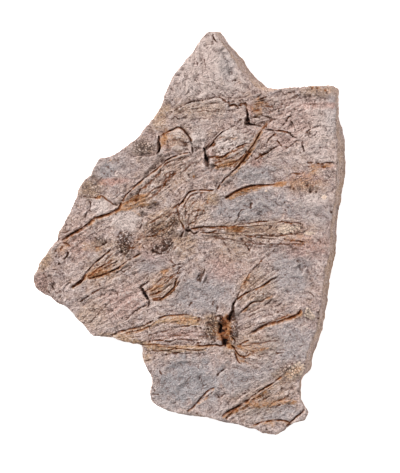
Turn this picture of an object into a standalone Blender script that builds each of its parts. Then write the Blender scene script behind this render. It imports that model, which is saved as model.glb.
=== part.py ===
"""A crinoid fossil: one broken plate of siltstone that lies on its back.

Its upper face is a bedding plane crowded with sea lilies. The animals themselves have gone, and
what is left of them is the shape of the stone: their columns and arms are long narrow furrows,
their cups are pits and lumps, and the plates of bedding they lay between end in low ledges.
Stone and fossils are one piece, so they are one solid.

Metres, +Z up. The origin is the middle of the plate's box, on the surface that it rests on.
Everything on the upper face is plotted on a half-millimetre chart: x runs to the right (+X) and
y runs down the face (-Y), and on_face() turns a chart point into metres.
"""

import math

import bpy
import numpy as np
from mathutils import Vector, noise
from mathutils.geometry import delaunay_2d_cdt

MM = 0.001

# Driving dimensions
THICKNESS = 16.0 * MM
CHART_UNIT_X = 0.511 * MM
CHART_UNIT_Y = 0.5 * MM
CHART_CENTRE = (185.75, 233.5)

# The plate's edge
EDGE_STEP = 2.8 * MM  # spacing of the points round the edge
ARRIS = 0.7 * MM  # width of the worn corner between the face and the side
SOLE_INSET = 1.9 * MM  # how far the flat back stays inside the foot of the sides
FOOT_HEIGHT = 1.3 * MM
SIDE_LEVELS = (0.72, 0.42)  # heights of the broken side's middle rings, as shares of the thickness
SIDE_ROUGHNESS = 0.45 * MM

# The plate's face
GRID_STEP = 3.2 * MM  # spacing of the face's points where nothing is carved
CARVED_STEP = 2.6 * MM  # spacing of the points along a furrow or a ledge
BANK = 0.35 * MM  # how far a furrow's bank stands outside its half width
SCARP = 0.8 * MM  # width of a ledge's steep part
CLEARANCE = 0.6 * MM  # carved points nearer to each other than this are one point
GRID_CLEARANCE = 1.7 * MM  # plain points keep this far from carved ones
SWELL = 0.8 * MM  # the face's slow rise and fall
SWELL_LENGTH = 46 * MM
CRUMPLE = 0.22 * MM  # the uneven break of the bedding
CRUMPLE_LENGTH = 9 * MM
LEDGE_REACH = 3.5 * MM  # how far from a ledge its step has mostly died away

STONE_COLOUR = (0.36, 0.28, 0.25, 1.0)
STONE_ROUGHNESS = 0.92

# The edge of the face, anticlockwise seen from above, in named stretches. Each has the lean of its
# side, which is how far the foot stands out past the rim (in mm), and its rim points on the chart.
EDGE = (
    ("peak_west", -0.6, [(207, 31.5), (203, 34.5), (199, 41), (195, 47), (190, 54), (183, 62), (177, 69.5),
                         (172, 76), (168, 86), (163.5, 95), (162, 100.5), (158.5, 108), (152, 117)]),
    ("west_shoulder", -1.0, [(147, 124), (141.5, 129), (138, 136), (130, 142), (122, 148.5), (113, 154),
                             (106, 156), (99, 156.5), (96, 160.5), (92, 167), (90, 174), (84, 178.5),
                             (78.5, 185), (76, 193), (73.5, 201.5)]),
    ("west_slope", -0.5, [(69.5, 210), (66, 217), (61.5, 224), (57, 230.5), (55.5, 239), (49, 246.5),
                          (44.5, 253), (39.5, 259), (38, 265.5), (35.5, 270.5)]),
    ("west_tip", -1.2, [(32.5, 274), (31, 280), (33, 286), (38, 291), (43, 296), (50, 298), (56, 303.5)]),
    ("south_west", 0.2, [(65, 307), (70.5, 311.5), (74.5, 317.5), (80, 323), (86, 330), (90.5, 335.5),
                         (96, 337), (102, 337.6), (110, 336.2), (119, 341.5), (130, 344), (141.5, 345)]),
    ("notch", -0.6, [(141.5, 353), (142.5, 361), (147, 370), (152, 380.5), (149.6, 388), (149, 395)]),
    ("south", 1.1, [(150.3, 402.5), (160, 408.6), (170, 411), (182, 414.3), (197, 416), (213, 419),
                    (230, 422.8), (245, 426.8)]),
    ("south_tip", -0.2, [(257, 430.5), (268, 434.5), (275, 435.8), (283, 431), (291, 424.5), (300, 421.2)]),
    ("east_hollow", -0.6, [(305, 419.6), (307, 416), (307.6, 411), (304.5, 405), (300, 398.5),
                           (298.7, 389), (299.6, 380.5), (303, 375.5)]),
    ("east_lower", 0.3, [(305.5, 370.5), (306.5, 360), (309, 349), (312.5, 340), (317, 331), (319.5, 318),
                         (321.5, 305), (322.5, 292), (324, 279), (327, 265)]),
    ("east_upper", 0.1, [(329.5, 252), (331, 238), (332.5, 222), (334, 207), (336.3, 192)]),
    ("east_bulge", 1.3, [(337.2, 178), (337.8, 165), (337.8, 150), (337, 136)]),
    ("east_top", -1.1, [(336.4, 122), (336, 108), (336, 96), (335.5, 89)]),
    ("north", -0.8, [(333, 85.4), (322, 85), (310, 85.4), (299, 86.4), (288, 87.3), (279, 88.4)]),
    ("saddle", 1.6, [(271, 90), (263, 90.4)]),
    ("peak_east", 2.6, [(256.5, 85.5), (250, 79.5), (243.5, 75), (240, 67), (235.5, 58.5)]),
    ("peak_tip", 0.9, [(230, 52), (223, 46.5), (217.5, 41), (213.5, 35.5), (211, 31.6)]),
)

# Steps in the bedding. Each falls by its drop (in mm) to the right of its direction on the chart's
# line, and dies away from it on both sides.
LEDGES = {
    "under_peak": (0.9, [(262, 92), (240, 99), (222, 98), (203, 101), (182, 105.5), (170, 113), (166, 120)]),
    "rough_block_foot": (1.0, [(160, 150), (155, 154), (143, 156), (128, 158)]),
    "pale_block_foot": (1.1, [(162, 164), (152, 171), (139, 183), (129, 190), (121, 201)]),
    "north_lens_rim": (1.5, [(236, 126), (222, 131), (213, 140), (205, 147), (206, 156), (208, 168)]),
    "little_lens_rim": (0.8, [(193, 154), (190, 142), (184, 131), (177, 127)]),
    "pale_flake_edge": (1.0, [(143, 218), (142, 226), (137, 233)]),
    "notch_crown_rim": (0.9, [(150, 281), (140, 287), (144, 293), (150, 300), (148, 307)]),
    "blister_foot": (1.0, [(205, 266), (200, 274), (196, 282)]),
    "cushion_foot": (0.7, [(250, 200), (250, 207), (241, 211), (238, 219)]),
    "east_sill": (0.6, [(334, 199), (332, 206), (331, 214)]),
    "south_dimple": (0.7, [(228, 368), (222, 372), (217, 377)]),
}

# Long narrow furrows: the moulds of columns and of the arms that stand out most. Each has its width
# and depth (in mm) and its line on the chart.
FURROWS = {
    "west_column": (1.5, 1.2, [(60, 241), (76, 232), (88, 225), (96, 218), (108, 213), (119, 207)]),
    "west_column_root": (0.9, 0.6, [(60, 242), (56, 249), (52, 255)]),
    "west_upper_arm": (1.3, 0.9, [(119, 206), (125, 195), (138, 183), (151, 171), (165, 163), (184, 154)]),
    "west_middle_arm": (0.8, 0.5, [(136, 195), (150, 182), (160, 172), (174, 163)]),
    "west_lower_arm": (0.8, 0.5, [(146, 199), (161, 188), (170, 178), (183, 171), (200, 167)]),
    "west_outer_arm": (1.0, 0.5, [(119, 208), (132, 207), (146, 205), (157, 200)]),
    "tip_column": (1.7, 1.2, [(69, 287), (78, 283), (84, 277), (92, 267), (100, 259), (112, 248)]),
    "tip_column_fork": (0.9, 0.7, [(80, 281), (69, 282), (62, 291), (57, 299)]),
    "tip_lower_arm": (1.0, 0.6, [(86, 278), (98, 276), (113, 271), (124, 264), (135, 256), (150, 246)]),
    "tip_outer_arm": (1.0, 0.6, [(120, 272), (130, 268), (138, 262), (149, 258)]),
    "tip_upper_arm": (0.8, 0.5, [(95, 270), (103, 267), (110, 262), (118, 257)]),
    "tip_fold_1": (0.8, 0.4, [(78, 303), (88, 297), (99, 289), (112, 284)]),
    "tip_fold_2": (0.8, 0.4, [(83, 320), (92, 311), (101, 303), (115, 297)]),
    "slanting_column": (1.9, 1.7, [(262, 129), (256, 139), (250, 151), (242, 162), (233, 172)]),
    "slanting_column_end": (1.0, 0.8, [(233, 172), (225, 181), (215, 190), (200, 190), (190, 192)]),
    "heart_crown_spine": (1.3, 1.1, [(190, 192), (183, 200), (179, 209), (179, 219), (183, 229)]),
    "heart_inner_arm": (0.9, 0.6, [(189, 196), (184, 205), (181, 213)]),
    "heart_fan_arm": (0.9, 0.6, [(184, 219), (190, 213), (199, 210), (208, 212)]),
    "east_crown_stem": (1.3, 1.0, [(185, 230), (194, 228), (210, 227), (232, 227)]),
    "east_upper_arm": (1.0, 0.6, [(232, 227), (248, 224), (268, 222), (284, 223), (302, 224)]),
    "east_lower_arm": (0.8, 0.5, [(236, 232), (250, 236), (270, 237), (286, 234), (304, 234)]),
    "east_low_thread": (0.8, 0.4, [(286, 241), (300, 242), (313, 242)]),
    "lone_arm": (1.2, 0.9, [(225, 200), (236, 192), (248, 187), (264, 185), (284, 182)]),
    "lone_arm_spur": (0.8, 0.5, [(283, 179), (291, 174), (301, 173), (315, 173)]),
    "rusty_seam": (0.9, 0.6, [(304, 163), (318, 164), (333, 162)]),
    "cross_seam": (0.9, 0.7, [(252, 124), (266, 129), (284, 131), (298, 139)]),
    "chimney": (1.6, 2.2, [(241, 104), (246, 110), (247, 117), (248, 125)]),
    "lens_arm_upper": (0.9, 0.7, [(219, 141), (212, 147), (206, 151)]),
    "lens_arm_middle": (1.1, 0.8, [(212, 157), (224, 157), (233, 153), (240, 146), (251, 143)]),
    "lens_arm_lower": (1.0, 0.7, [(213, 166), (224, 166), (236, 162), (245, 153)]),
    "shoulder_slot": (1.5, 1.8, [(158, 136), (158, 143), (157, 151)]),
    "shoulder_arch": (0.9, 0.7, [(162, 132), (172, 130), (180, 126), (186, 129)]),
    "notch_crown_arm_1": (0.9, 0.5, [(162, 275), (169, 269), (182, 265)]),
    "notch_crown_arm_2": (0.9, 0.5, [(148, 290), (158, 283), (171, 276)]),
    "notch_crown_arm_3": (1.0, 0.6, [(152, 300), (164, 297), (174, 288), (178, 279)]),
    "notch_crown_tail": (0.8, 0.5, [(149, 304), (138, 309), (128, 318)]),
    "band_arm_1": (0.9, 0.5, [(216, 318), (190, 316), (168, 317), (150, 323), (134, 329), (119, 332)]),
    "band_arm_2": (0.9, 0.5, [(216, 326), (190, 326), (170, 328), (148, 335), (118, 338)]),
    "band_arm_3": (0.9, 0.5, [(214, 335), (196, 337), (172, 341), (149, 342)]),
    "band_arm_4": (1.0, 0.5, [(222, 345), (205, 349), (180, 350), (158, 350)]),
    "knot_arm_north": (1.0, 0.7, [(234, 304), (242, 288), (252, 271), (266, 254)]),
    "knot_arm_2": (0.9, 0.5, [(238, 301), (247, 292), (258, 289), (266, 283), (278, 277)]),
    "knot_arm_3": (1.0, 0.6, [(237, 317), (246, 307), (256, 301), (264, 298)]),
    "knot_arm_4": (1.4, 0.9, [(250, 335), (262, 328), (280, 321), (298, 315), (304, 309)]),
    "knot_arm_5": (0.9, 0.5, [(240, 345), (250, 340), (258, 338)]),
    "knot_arm_6": (1.0, 0.7, [(232, 346), (238, 355), (246, 357), (253, 351), (266, 348)]),
    "knot_arm_south": (1.0, 0.6, [(234, 351), (240, 361), (254, 366), (268, 370)]),
    "south_arm_main": (1.6, 1.0, [(222, 417), (236, 408), (251, 399), (264, 389), (281, 377)]),
    "south_arm_branch": (0.9, 0.5, [(244, 404), (262, 405), (282, 402), (297, 400)]),
    "south_arm_low": (1.1, 0.8, [(251, 426), (268, 420), (290, 421), (303, 409)]),
    "south_arm_west": (1.2, 0.8, [(186, 412), (197, 405), (208, 390), (216, 387)]),
    "crack_by_peak": (0.8, 0.5, [(204, 46), (209, 44), (215, 43)]),
}

# Pits and lumps: place on the chart, radius (in mm) and how far it rises (in mm, down if negative).
# The two knobbly cups are heaps of plates, each a small lump of its own.
SPOTS = {
    "knot_cup": (222, 326, 3.4, -3.6),
    "knot_cup_foot": (225, 342, 1.9, -2.2),
    "knot_blade": (232, 313, 2.4, 1.4),
    "knot_rim_east": (231, 334, 2.2, 0.9),
    "heart_cup": (182, 231, 2.4, 1.1),
    "heart_hollow": (187, 231, 1.6, -1.6),
    "west_cup_plate_1": (121.5, 234, 2.1, 0.9),
    "west_cup_plate_2": (127, 238, 2.4, 1.2),
    "west_cup_plate_3": (121, 243, 2.5, 1.4),
    "west_cup_plate_4": (127, 247, 2.3, 1.2),
    "west_cup_plate_5": (123, 253, 1.9, 0.8),
    "heart_cup_plate_1": (163, 239, 2.3, 0.9),
    "heart_cup_plate_2": (170, 240, 2.1, 0.8),
    "heart_cup_plate_3": (166, 245, 2.7, 1.3),
    "heart_cup_plate_4": (172, 247, 2.1, 0.9),
    "heart_cup_plate_5": (163, 251, 1.9, 0.8),
    "loose_plate": (156, 248, 1.7, 0.7),
    "east_pit_1": (291, 187, 1.3, -0.8),
    "east_pit_2": (300, 188, 1.2, -0.7),
    "east_pit_3": (311, 190, 1.6, -0.9),
    "east_pit_4": (317, 188, 1.1, -0.7),
    "rough_block": (143, 147, 5.5, 0.9),
    "lens_pit": (207, 162, 2.2, -2.2),
    "lens_belly": (232, 141, 8.0, 0.9),
    "little_lens": (176, 142, 5.5, 0.7),
    "chimney_foot": (248, 124, 1.5, -1.3),
    "peak_dome": (208, 68, 13.0, 0.8),
    "blister": (190, 270, 8.0, 0.5),
    "round_scar": (306, 342, 3.4, -0.5),
    "east_crust": (292, 228, 4.5, 0.5),
    "corner_crust": (294, 371, 4.5, 0.6),
    "rim_crust": (309, 314, 4.0, 0.5),
}


def clear_scene():
    for obj in list(bpy.data.objects):
        bpy.data.objects.remove(obj, do_unlink=True)


def on_face(points):
    """Chart points as metres in X and Y."""
    points = np.asarray(points, float)
    across = (points[:, 0] - CHART_CENTRE[0]) * CHART_UNIT_X
    up = (CHART_CENTRE[1] - points[:, 1]) * CHART_UNIT_Y
    return np.column_stack([across, up])


def walked(line, step, closed=False):
    """Points about a step apart along a line, and how far along the line's own points each lies."""
    corners = np.vstack([line, line[:1]]) if closed else line
    lengths = np.hypot(*np.diff(corners, axis=0).T)
    along = np.concatenate([[0], np.cumsum(lengths)])
    count = max(2, round(along[-1] / step) + (not closed))
    at = np.linspace(0, along[-1], count, endpoint=not closed)
    points = np.column_stack([np.interp(at, along, corners[:, axis]) for axis in (0, 1)])
    return points, np.interp(at, along, np.arange(len(corners)))


def curved(line, subdivisions=6):
    """A smooth curve through a line's points (Catmull-Rom)."""
    ends = np.vstack([2 * line[0] - line[1], line, 2 * line[-1] - line[-2]])
    t = np.linspace(0, 1, subdivisions, endpoint=False)[:, None]
    runs = []
    for a, b, c, d in zip(ends, ends[1:], ends[2:], ends[3:]):
        runs.append(b + 0.5 * t * (c - a + t * (2 * a - 5 * b + 4 * c - d + t * (3 * (b - c) + d - a))))
    return np.vstack([*runs, line[-1:]])


def outward(ring):
    """The directions out of an anticlockwise ring, evened out over neighbours so that offsets stay clean."""
    along = np.roll(ring, -1, axis=0) - np.roll(ring, 1, axis=0)
    out = np.column_stack([along[:, 1], -along[:, 0]])
    out = np.roll(out, 1, axis=0) + 2 * out + np.roll(out, -1, axis=0)
    return out / np.linalg.norm(out, axis=1, keepdims=True)


def nearest_on(line, points):
    """For each point, its distance from a line, and on which side it is (+1 on the left of the line)."""
    best = np.full(len(points), np.inf)
    side = np.ones(len(points))
    for start, end in zip(line, line[1:]):
        run = end - start
        share = np.clip((points - start) @ run / (run @ run), 0, 1)
        off = points - start - share[:, None] * run
        distance = np.hypot(*off.T)
        cross = run[0] * off[:, 1] - run[1] * off[:, 0]
        side = np.where(distance < best, np.sign(cross), side)
        best = np.minimum(best, distance)
    return best, side


def swell(points, length, seed):
    """Smooth noise from about -1 to 1 over the face, with bumps of the given length."""
    return np.array([noise.noise(Vector((x / length, y / length, seed))) * 1.6 for x, y in points])


def furrow_lines():
    """Each furrow as (width, depth, smooth line) in metres."""
    return [(width * MM, depth * MM, curved(on_face(line))) for width, depth, line in FURROWS.values()]


def ledge_lines():
    """Each ledge as (drop, smooth line) in metres."""
    return [(drop * MM, curved(on_face(line))) for drop, line in LEDGES.values()]


def face_height(points):
    """Height of the upper face, in metres, above the surface that the plate rests on."""
    height = np.full(len(points), THICKNESS)
    height += SWELL * swell(points, SWELL_LENGTH, 3.1) + CRUMPLE * swell(points, CRUMPLE_LENGTH, 7.7)
    for drop, line in ledge_lines():
        distance, side = nearest_on(line, points)
        step = side * np.clip(distance / (SCARP / 2), 0, 1)
        height += step * drop / 2 * np.exp(-np.maximum(distance - SCARP / 2, 0) / LEDGE_REACH)
    for x, y, radius, rise in SPOTS.values():
        distance = np.hypot(*(points - on_face([(x, y)])).T) / (radius * MM)
        height += rise * MM * np.exp(-distance**4)
    for width, depth, line in furrow_lines():
        distance, _ = nearest_on(line, points)
        height -= depth * np.clip(1 - distance / (width / 2 + BANK), 0, 1)
    return height


class Scatter:
    """Points in the plane that keep clear of each other."""

    CELL = max(CLEARANCE, GRID_CLEARANCE)

    def __init__(self, points):
        self.points = []
        self.cells = {}
        for point in points:
            self.keep(point)

    def keep(self, point):
        self.cells.setdefault(tuple(np.floor(point / self.CELL).astype(int)), []).append(len(self.points))
        self.points.append(point)
        return len(self.points) - 1

    def near(self, point, clearance):
        """The nearest kept point within the clearance, or None."""
        i, j = np.floor(point / self.CELL).astype(int)
        around = [k for a in (-1, 0, 1) for b in (-1, 0, 1) for k in self.cells.get((i + a, j + b), ())]
        if not around:
            return None
        distance = np.hypot(*(np.array([self.points[k] for k in around]) - point).T)
        return around[distance.argmin()] if distance.min() < clearance else None

    def chain(self, line):
        """Keeps a line's points, joining it to what is there already, and returns the edges along it."""
        indices = []
        for point in line:
            index = self.near(point, CLEARANCE)
            indices.append(self.keep(point) if index is None else index)
        return [(a, b) for a, b in zip(indices, indices[1:]) if a != b]


def inside(points, ring):
    """Whether each point lies inside a ring."""
    result = np.zeros(len(points), bool)
    for (x1, y1), (x2, y2) in zip(ring, np.roll(ring, -1, axis=0)):
        crosses = (y1 > points[:, 1]) != (y2 > points[:, 1])
        with np.errstate(divide="ignore", invalid="ignore"):
            meets = x1 + (points[:, 1] - y1) * (x2 - x1) / (y2 - y1)
        result ^= crosses & (points[:, 0] < meets)
    return result


def edge_ring():
    """The rim as an even ring of points, with the lean of the side at each."""
    corners, leans = [], []
    for _, lean, line in EDGE:
        corners += line
        leans += [lean * MM] * len(line)
    ring, at = walked(on_face(corners), EDGE_STEP, closed=True)
    lean = np.interp(at, np.arange(len(leans) + 1), [*leans, leans[0]])
    lean = (np.roll(lean, 1) + lean + np.roll(lean, -1)) / 3
    return ring, lean


def side_rings():
    """The rings of the plate from the face's edge down to the flat back, as lists of 3D points."""
    rim, lean = edge_ring()
    out = outward(rim)
    lip = rim - out * ARRIS
    lip_height = face_height(lip)
    rings = [(lip, lip_height), (rim, lip_height - ARRIS)]
    for number, level in enumerate(SIDE_LEVELS):
        rough = SIDE_ROUGHNESS * swell(rim, 7 * MM, 20.3 + 5 * number)
        ring = rim + out * (lean * (1 - level) + rough)[:, None]
        rings.append((ring, np.full(len(ring), THICKNESS * level)))
    foot = rim + out * lean[:, None]
    rings.append((foot, np.full(len(foot), FOOT_HEIGHT)))
    sole = foot - outward(foot) * SOLE_INSET
    for _ in range(2):
        sole = (np.roll(sole, 1, axis=0) + 2 * sole + np.roll(sole, -1, axis=0)) / 4
    rings.append((sole, np.zeros(len(sole))))
    return rings


def beside(line, reach):
    """A line moved to its left by reach (to its right if negative)."""
    ahead = np.gradient(line, axis=0)
    left = np.column_stack([-ahead[:, 1], ahead[:, 0]]) / np.hypot(*ahead.T)[:, None]
    return line + left * reach


def face_points(lip):
    """Points of the face and the edges that its relief needs, the lip's own first.

    A furrow has a bed and two banks, a ledge a brink and a foot, a spot two circles round its middle,
    and a plain grid fills what they leave.
    """
    kept = Scatter(lip)
    chains = []
    for width, _, line in furrow_lines():
        bed, _ = walked(line, CARVED_STEP)
        reach = width / 2 + BANK
        chains += [bed, beside(bed, reach), beside(bed, -reach)]
    for _, line in ledge_lines():
        brink, _ = walked(line, CARVED_STEP)
        chains += [beside(brink, SCARP / 2), beside(brink, -SCARP / 2)]
    edges = []
    for chain in chains:
        edges += kept.chain(chain[inside(chain, lip)])

    turns = np.arange(7) * math.tau / 7
    for x, y, radius, _ in SPOTS.values():
        middle = on_face([(x, y)])
        circle = np.column_stack([np.cos(turns), np.sin(turns)]) * radius * MM
        around = np.vstack([middle, middle + 0.6 * circle, middle + 1.2 * circle])
        for point in around[inside(around, lip)]:
            if kept.near(point, CLEARANCE) is None:
                kept.keep(point)

    low, high = lip.min(axis=0), lip.max(axis=0)
    columns = np.arange(low[0], high[0], GRID_STEP)
    rows = np.arange(low[1], high[1], GRID_STEP * math.sqrt(3) / 2)
    grid = np.array([(x + GRID_STEP / 2 * (j % 2), y) for j, y in enumerate(rows) for x in columns])
    for point in grid[inside(grid, lip)]:
        if kept.near(point, GRID_CLEARANCE) is None:
            kept.keep(point)
    return np.array(kept.points), edges


def triangulated(points, edges, ring_size):
    """The points and the triangles inside the ring that the first of the points make.

    Where two edges cross, the triangulation adds a point after the others.
    """
    ring = [(k, (k + 1) % ring_size) for k in range(ring_size)]
    made = delaunay_2d_cdt([Vector(p) for p in points.tolist()], ring + edges, [], 0, 1e-7)
    out = np.array([tuple(p) for p in made[0]])
    faces = np.array(made[2])
    return out, faces[inside(out[faces].mean(axis=1), points[:ring_size])]


def plate_mesh():
    """The whole plate as one closed mesh: face, worn corner, broken sides and flat back."""
    rings = side_rings()
    lip, _ = rings[0]
    count = len(lip)
    face, triangles = triangulated(*face_points(lip), count)
    points = [np.column_stack([face, face_height(face)])]
    faces = triangles.tolist()

    above = list(range(count))
    start = len(face)
    for ring, height in rings[1:]:
        points.append(np.column_stack([ring, height]))
        below = list(range(start, start + count))
        for k in range(count):
            after = (k + 1) % count
            faces.append([above[k], below[k], below[after]])
            faces.append([above[k], below[after], above[after]])
        above = below
        start += count
    sole, _ = rings[-1]
    for a, b, c in triangulated(sole, [], count)[1]:
        faces.append([above[a], above[c], above[b]])

    mesh = bpy.data.meshes.new("fossil_slab")
    mesh.from_pydata(np.vstack(points).tolist(), [], faces)
    mesh.update()
    return mesh


def stone():
    material = bpy.data.materials.new("siltstone")
    material.use_nodes = True
    shader = material.node_tree.nodes["Principled BSDF"]
    shader.inputs["Base Color"].default_value = STONE_COLOUR
    shader.inputs["Roughness"].default_value = STONE_ROUGHNESS
    shader.inputs["Metallic"].default_value = 0.0
    return material


def main():
    clear_scene()
    slab = bpy.data.objects.new("fossil_slab", plate_mesh())
    slab.data.materials.append(stone())
    bpy.context.scene.collection.objects.link(slab)


main()
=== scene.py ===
"""The looks of a crinoid fossil: a broken plate of siltstone whose upper face is crowded with sea lilies.

One closed skin stands for the solid plate. It is built on a half-millimetre chart of the upper face, with
x to the right (+X) and y down the face (-Y). The sea lilies are carved into it line by line, and the same
lines leave their stains in the stone as attributes that its material reads, with painted shadow under their
sunward banks and painted highlight on the far ones. The material also paints shade into the hollows of
the relief and highlight onto its crests.
"""

import math

import bpy
import numpy as np
from mathutils import Matrix, Vector, noise
from mathutils.geometry import delaunay_2d_cdt


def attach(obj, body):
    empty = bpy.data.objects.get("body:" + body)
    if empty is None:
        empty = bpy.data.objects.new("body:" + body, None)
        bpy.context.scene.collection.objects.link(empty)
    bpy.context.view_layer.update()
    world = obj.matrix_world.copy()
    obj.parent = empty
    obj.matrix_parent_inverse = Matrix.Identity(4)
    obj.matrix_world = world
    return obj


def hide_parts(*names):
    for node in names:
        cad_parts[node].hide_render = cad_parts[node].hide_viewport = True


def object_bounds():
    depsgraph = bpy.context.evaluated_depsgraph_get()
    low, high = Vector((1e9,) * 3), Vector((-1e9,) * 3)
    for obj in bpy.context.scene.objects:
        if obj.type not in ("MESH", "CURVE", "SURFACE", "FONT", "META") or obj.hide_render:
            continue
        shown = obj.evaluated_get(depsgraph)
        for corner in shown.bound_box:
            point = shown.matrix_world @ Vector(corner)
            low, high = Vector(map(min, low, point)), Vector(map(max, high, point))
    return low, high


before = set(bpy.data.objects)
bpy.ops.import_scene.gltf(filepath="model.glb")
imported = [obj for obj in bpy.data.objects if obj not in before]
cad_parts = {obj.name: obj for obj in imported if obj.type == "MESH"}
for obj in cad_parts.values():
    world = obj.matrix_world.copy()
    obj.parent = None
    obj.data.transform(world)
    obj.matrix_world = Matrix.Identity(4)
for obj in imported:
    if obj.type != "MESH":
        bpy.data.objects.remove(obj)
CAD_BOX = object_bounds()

MM = 0.001
SEED = 7

# The plate, as its solid has it
THICKNESS = 16.0 * MM
CHART_UNIT_X = 0.511 * MM
CHART_UNIT_Y = 0.5 * MM
CHART_CENTRE = (185.75, 233.5)
ARRIS = 0.7 * MM
SOLE_INSET = 1.9 * MM
FOOT_HEIGHT = 1.3 * MM
SWELL = 0.8 * MM
SWELL_LENGTH = 46 * MM
CRUMPLE = 0.22 * MM
CRUMPLE_LENGTH = 9 * MM

# The relief that only the skin has
BED_TURN = np.array([[0.82, 0.57], [-0.57, 0.82]])  # lays the grain of the bedding along X
BED_STRETCH = (0.62, 1.25)
FLAKE = 0.38 * MM
FLAKE_LENGTH = 21 * MM
FLAKES_HIGH = 4
ROUGH = 0.65 * MM
ROUGH_LENGTH = 7.5 * MM
COARSE_GRAIN = 0.42 * MM
FINE_GRAIN = 0.3 * MM
SPECKLE = 0.12 * MM
ARM_SWELL = 0.35 * MM
ARM_GAP = 1.2 * MM
SCARP = 0.3 * MM  # half the width of a ledge's steep part
LEDGE_END = 2.5 * MM
LEDGE_REACH = 3.5 * MM
SUNWARD = np.array((-0.7, 0.7))  # where the light comes from; lines get painted shadow under that bank and painted highlight on the far bank

# The way of the fabric away from the face, and how thickly fossils lie there
BACK_FABRIC = (0.77, 0.64, 0.2)
SIDE_FABRIC = 0.7

# How finely the skin is modelled
EDGE_STEP = 0.85 * MM
GRID_STEP = 0.64 * MM
LINE_STEP = 0.5 * MM
LINE_CLEARANCE = 0.24 * MM
GRID_CLEARANCE = 0.42 * MM
BLOT_STEP = 0.38 * MM
SOLE_STEP = 2.0 * MM
SIDE_ROWS = 15
SHARP_ANGLE = math.radians(50)
FIFTHS = np.linspace(0, math.tau, 6)[:-1, None]
FIVE_WAYS = np.hstack([np.cos(FIFTHS), np.sin(FIFTHS)])

# The edge of the face, anticlockwise seen from above, in named stretches. Each has the lean of its
# side, which is how far the foot stands out past the rim (in mm), and its rim points on the chart.
EDGE = (
    ("peak_west", -0.6, [
        (208, 29.8), (204, 33.8), (199, 41), (195, 47), (190, 54), (183, 62), (177, 69.5), (172, 76),
        (168, 86), (163.5, 95), (162, 100.5), (158.5, 108), (152, 117)
    ]),
    ("west_shoulder", -1.0, [
        (147, 124), (141.5, 129), (138, 136), (130, 142), (122, 148.5), (113, 154), (106, 156),
        (99, 156.5), (96, 160.5), (92, 167), (90, 174), (84, 178.5), (78.5, 185), (76, 193), (73.5, 201.5)
    ]),
    ("west_slope", -0.5, [
        (69.5, 210), (66, 217), (61.5, 224), (57, 230.5), (55.5, 239), (49, 246.5), (44.5, 253),
        (39.5, 259), (38, 265.5), (35.5, 270.5)
    ]),
    ("west_tip", -1.2, [(32.5, 274), (31, 280), (33, 286), (38, 291), (43, 296), (50, 298), (56, 303.5)]),
    ("south_west", 0.2, [
        (65, 307), (70.5, 311.5), (74.5, 317.5), (80, 323), (86, 330), (90.5, 335.5), (96, 337),
        (102, 337.6), (110, 336.2), (119, 341.5), (130, 344), (141.5, 345)
    ]),
    ("notch", -0.6, [(141.5, 353), (142.5, 361), (147, 370), (152, 380.5), (149.6, 388), (149, 395)]),
    ("south", 1.1, [
        (150.3, 402.5), (160, 408.6), (170, 411), (182, 414.3), (197, 416), (213, 419), (230, 422.8),
        (245, 426.8)
    ]),
    ("south_tip", -0.2, [(257, 430.5), (268, 434.5), (275, 435.8)]),
    ("south_corner", -2.8, [
        (283, 431), (291, 424.5), (300, 421.2), (305, 419.6), (307, 416), (307.6, 411), (304.5, 405)
    ]),
    ("east_hollow", -2.0, [(300, 398.5), (298.7, 389), (299.6, 380.5), (303, 375.5)]),
    ("east_lower", 0.3, [
        (305.5, 370.5), (306.5, 360), (309, 349), (312.5, 340), (317, 331), (319.5, 318), (321.5, 305),
        (322.5, 292), (324, 279), (327, 265)
    ]),
    ("east_upper", 0.1, [(329.5, 252), (331, 238), (332.5, 222), (334, 207), (336.3, 192)]),
    ("east_bulge", 1.3, [(337.2, 178), (337.8, 165), (337.8, 150), (337, 136)]),
    ("east_top", -1.1, [(336.4, 122), (336, 108), (336, 96), (335.5, 89)]),
    ("north", -0.8, [(333, 85.4), (322, 85), (310, 85.4), (299, 86.4), (288, 87.3), (279, 88.4)]),
    ("saddle", 1.6, [(271, 90), (263, 90.4)]),
    ("peak_east", 1.5, [(256.5, 85.5), (250, 79.5), (243.5, 73.5), (239, 66), (233.5, 58)]),
    ("peak_tip", 0.7, [(229, 50.5), (224, 44.5), (219.5, 38.5), (215.8, 32.6), (212, 29.4)]),
)

# Steps in the bedding: each falls by its drop (in mm) to the right of its line's direction.
LEDGES = {
    "under_peak": (1.1, [(262, 92), (240, 99), (222, 98), (203, 101), (182, 105.5), (170, 113),
                         (166, 120)]),
    "rough_block_foot": (1.4, [(160, 150), (155, 154), (143, 156), (128, 158)]),
    "pale_block_foot": (1.5, [(162, 164), (152, 171), (139, 183), (129, 190), (121, 201)]),
    "north_lens_rim": (1.9, [(236, 126), (222, 131), (213, 140), (205, 147), (206, 156), (208, 168)]),
    "little_lens_rim": (1.3, [(193, 154), (190, 142), (184, 131), (177, 127)]),
    "pale_flake_edge": (1.5, [(143, 218), (142, 226), (137, 233)]),
    "notch_crown_rim": (1.2, [(150, 281), (140, 287), (144, 293), (150, 300), (148, 307)]),
    "blister_foot": (1.3, [(205, 266), (200, 274), (196, 282)]),
    "cushion_foot": (0.7, [(250, 200), (250, 207), (241, 211), (238, 219)]),
    "east_sill": (0.6, [(334, 199), (332, 206), (331, 214)]),
    "south_dimple": (0.7, [(228, 368), (222, 372), (217, 377)]),
}

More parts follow.
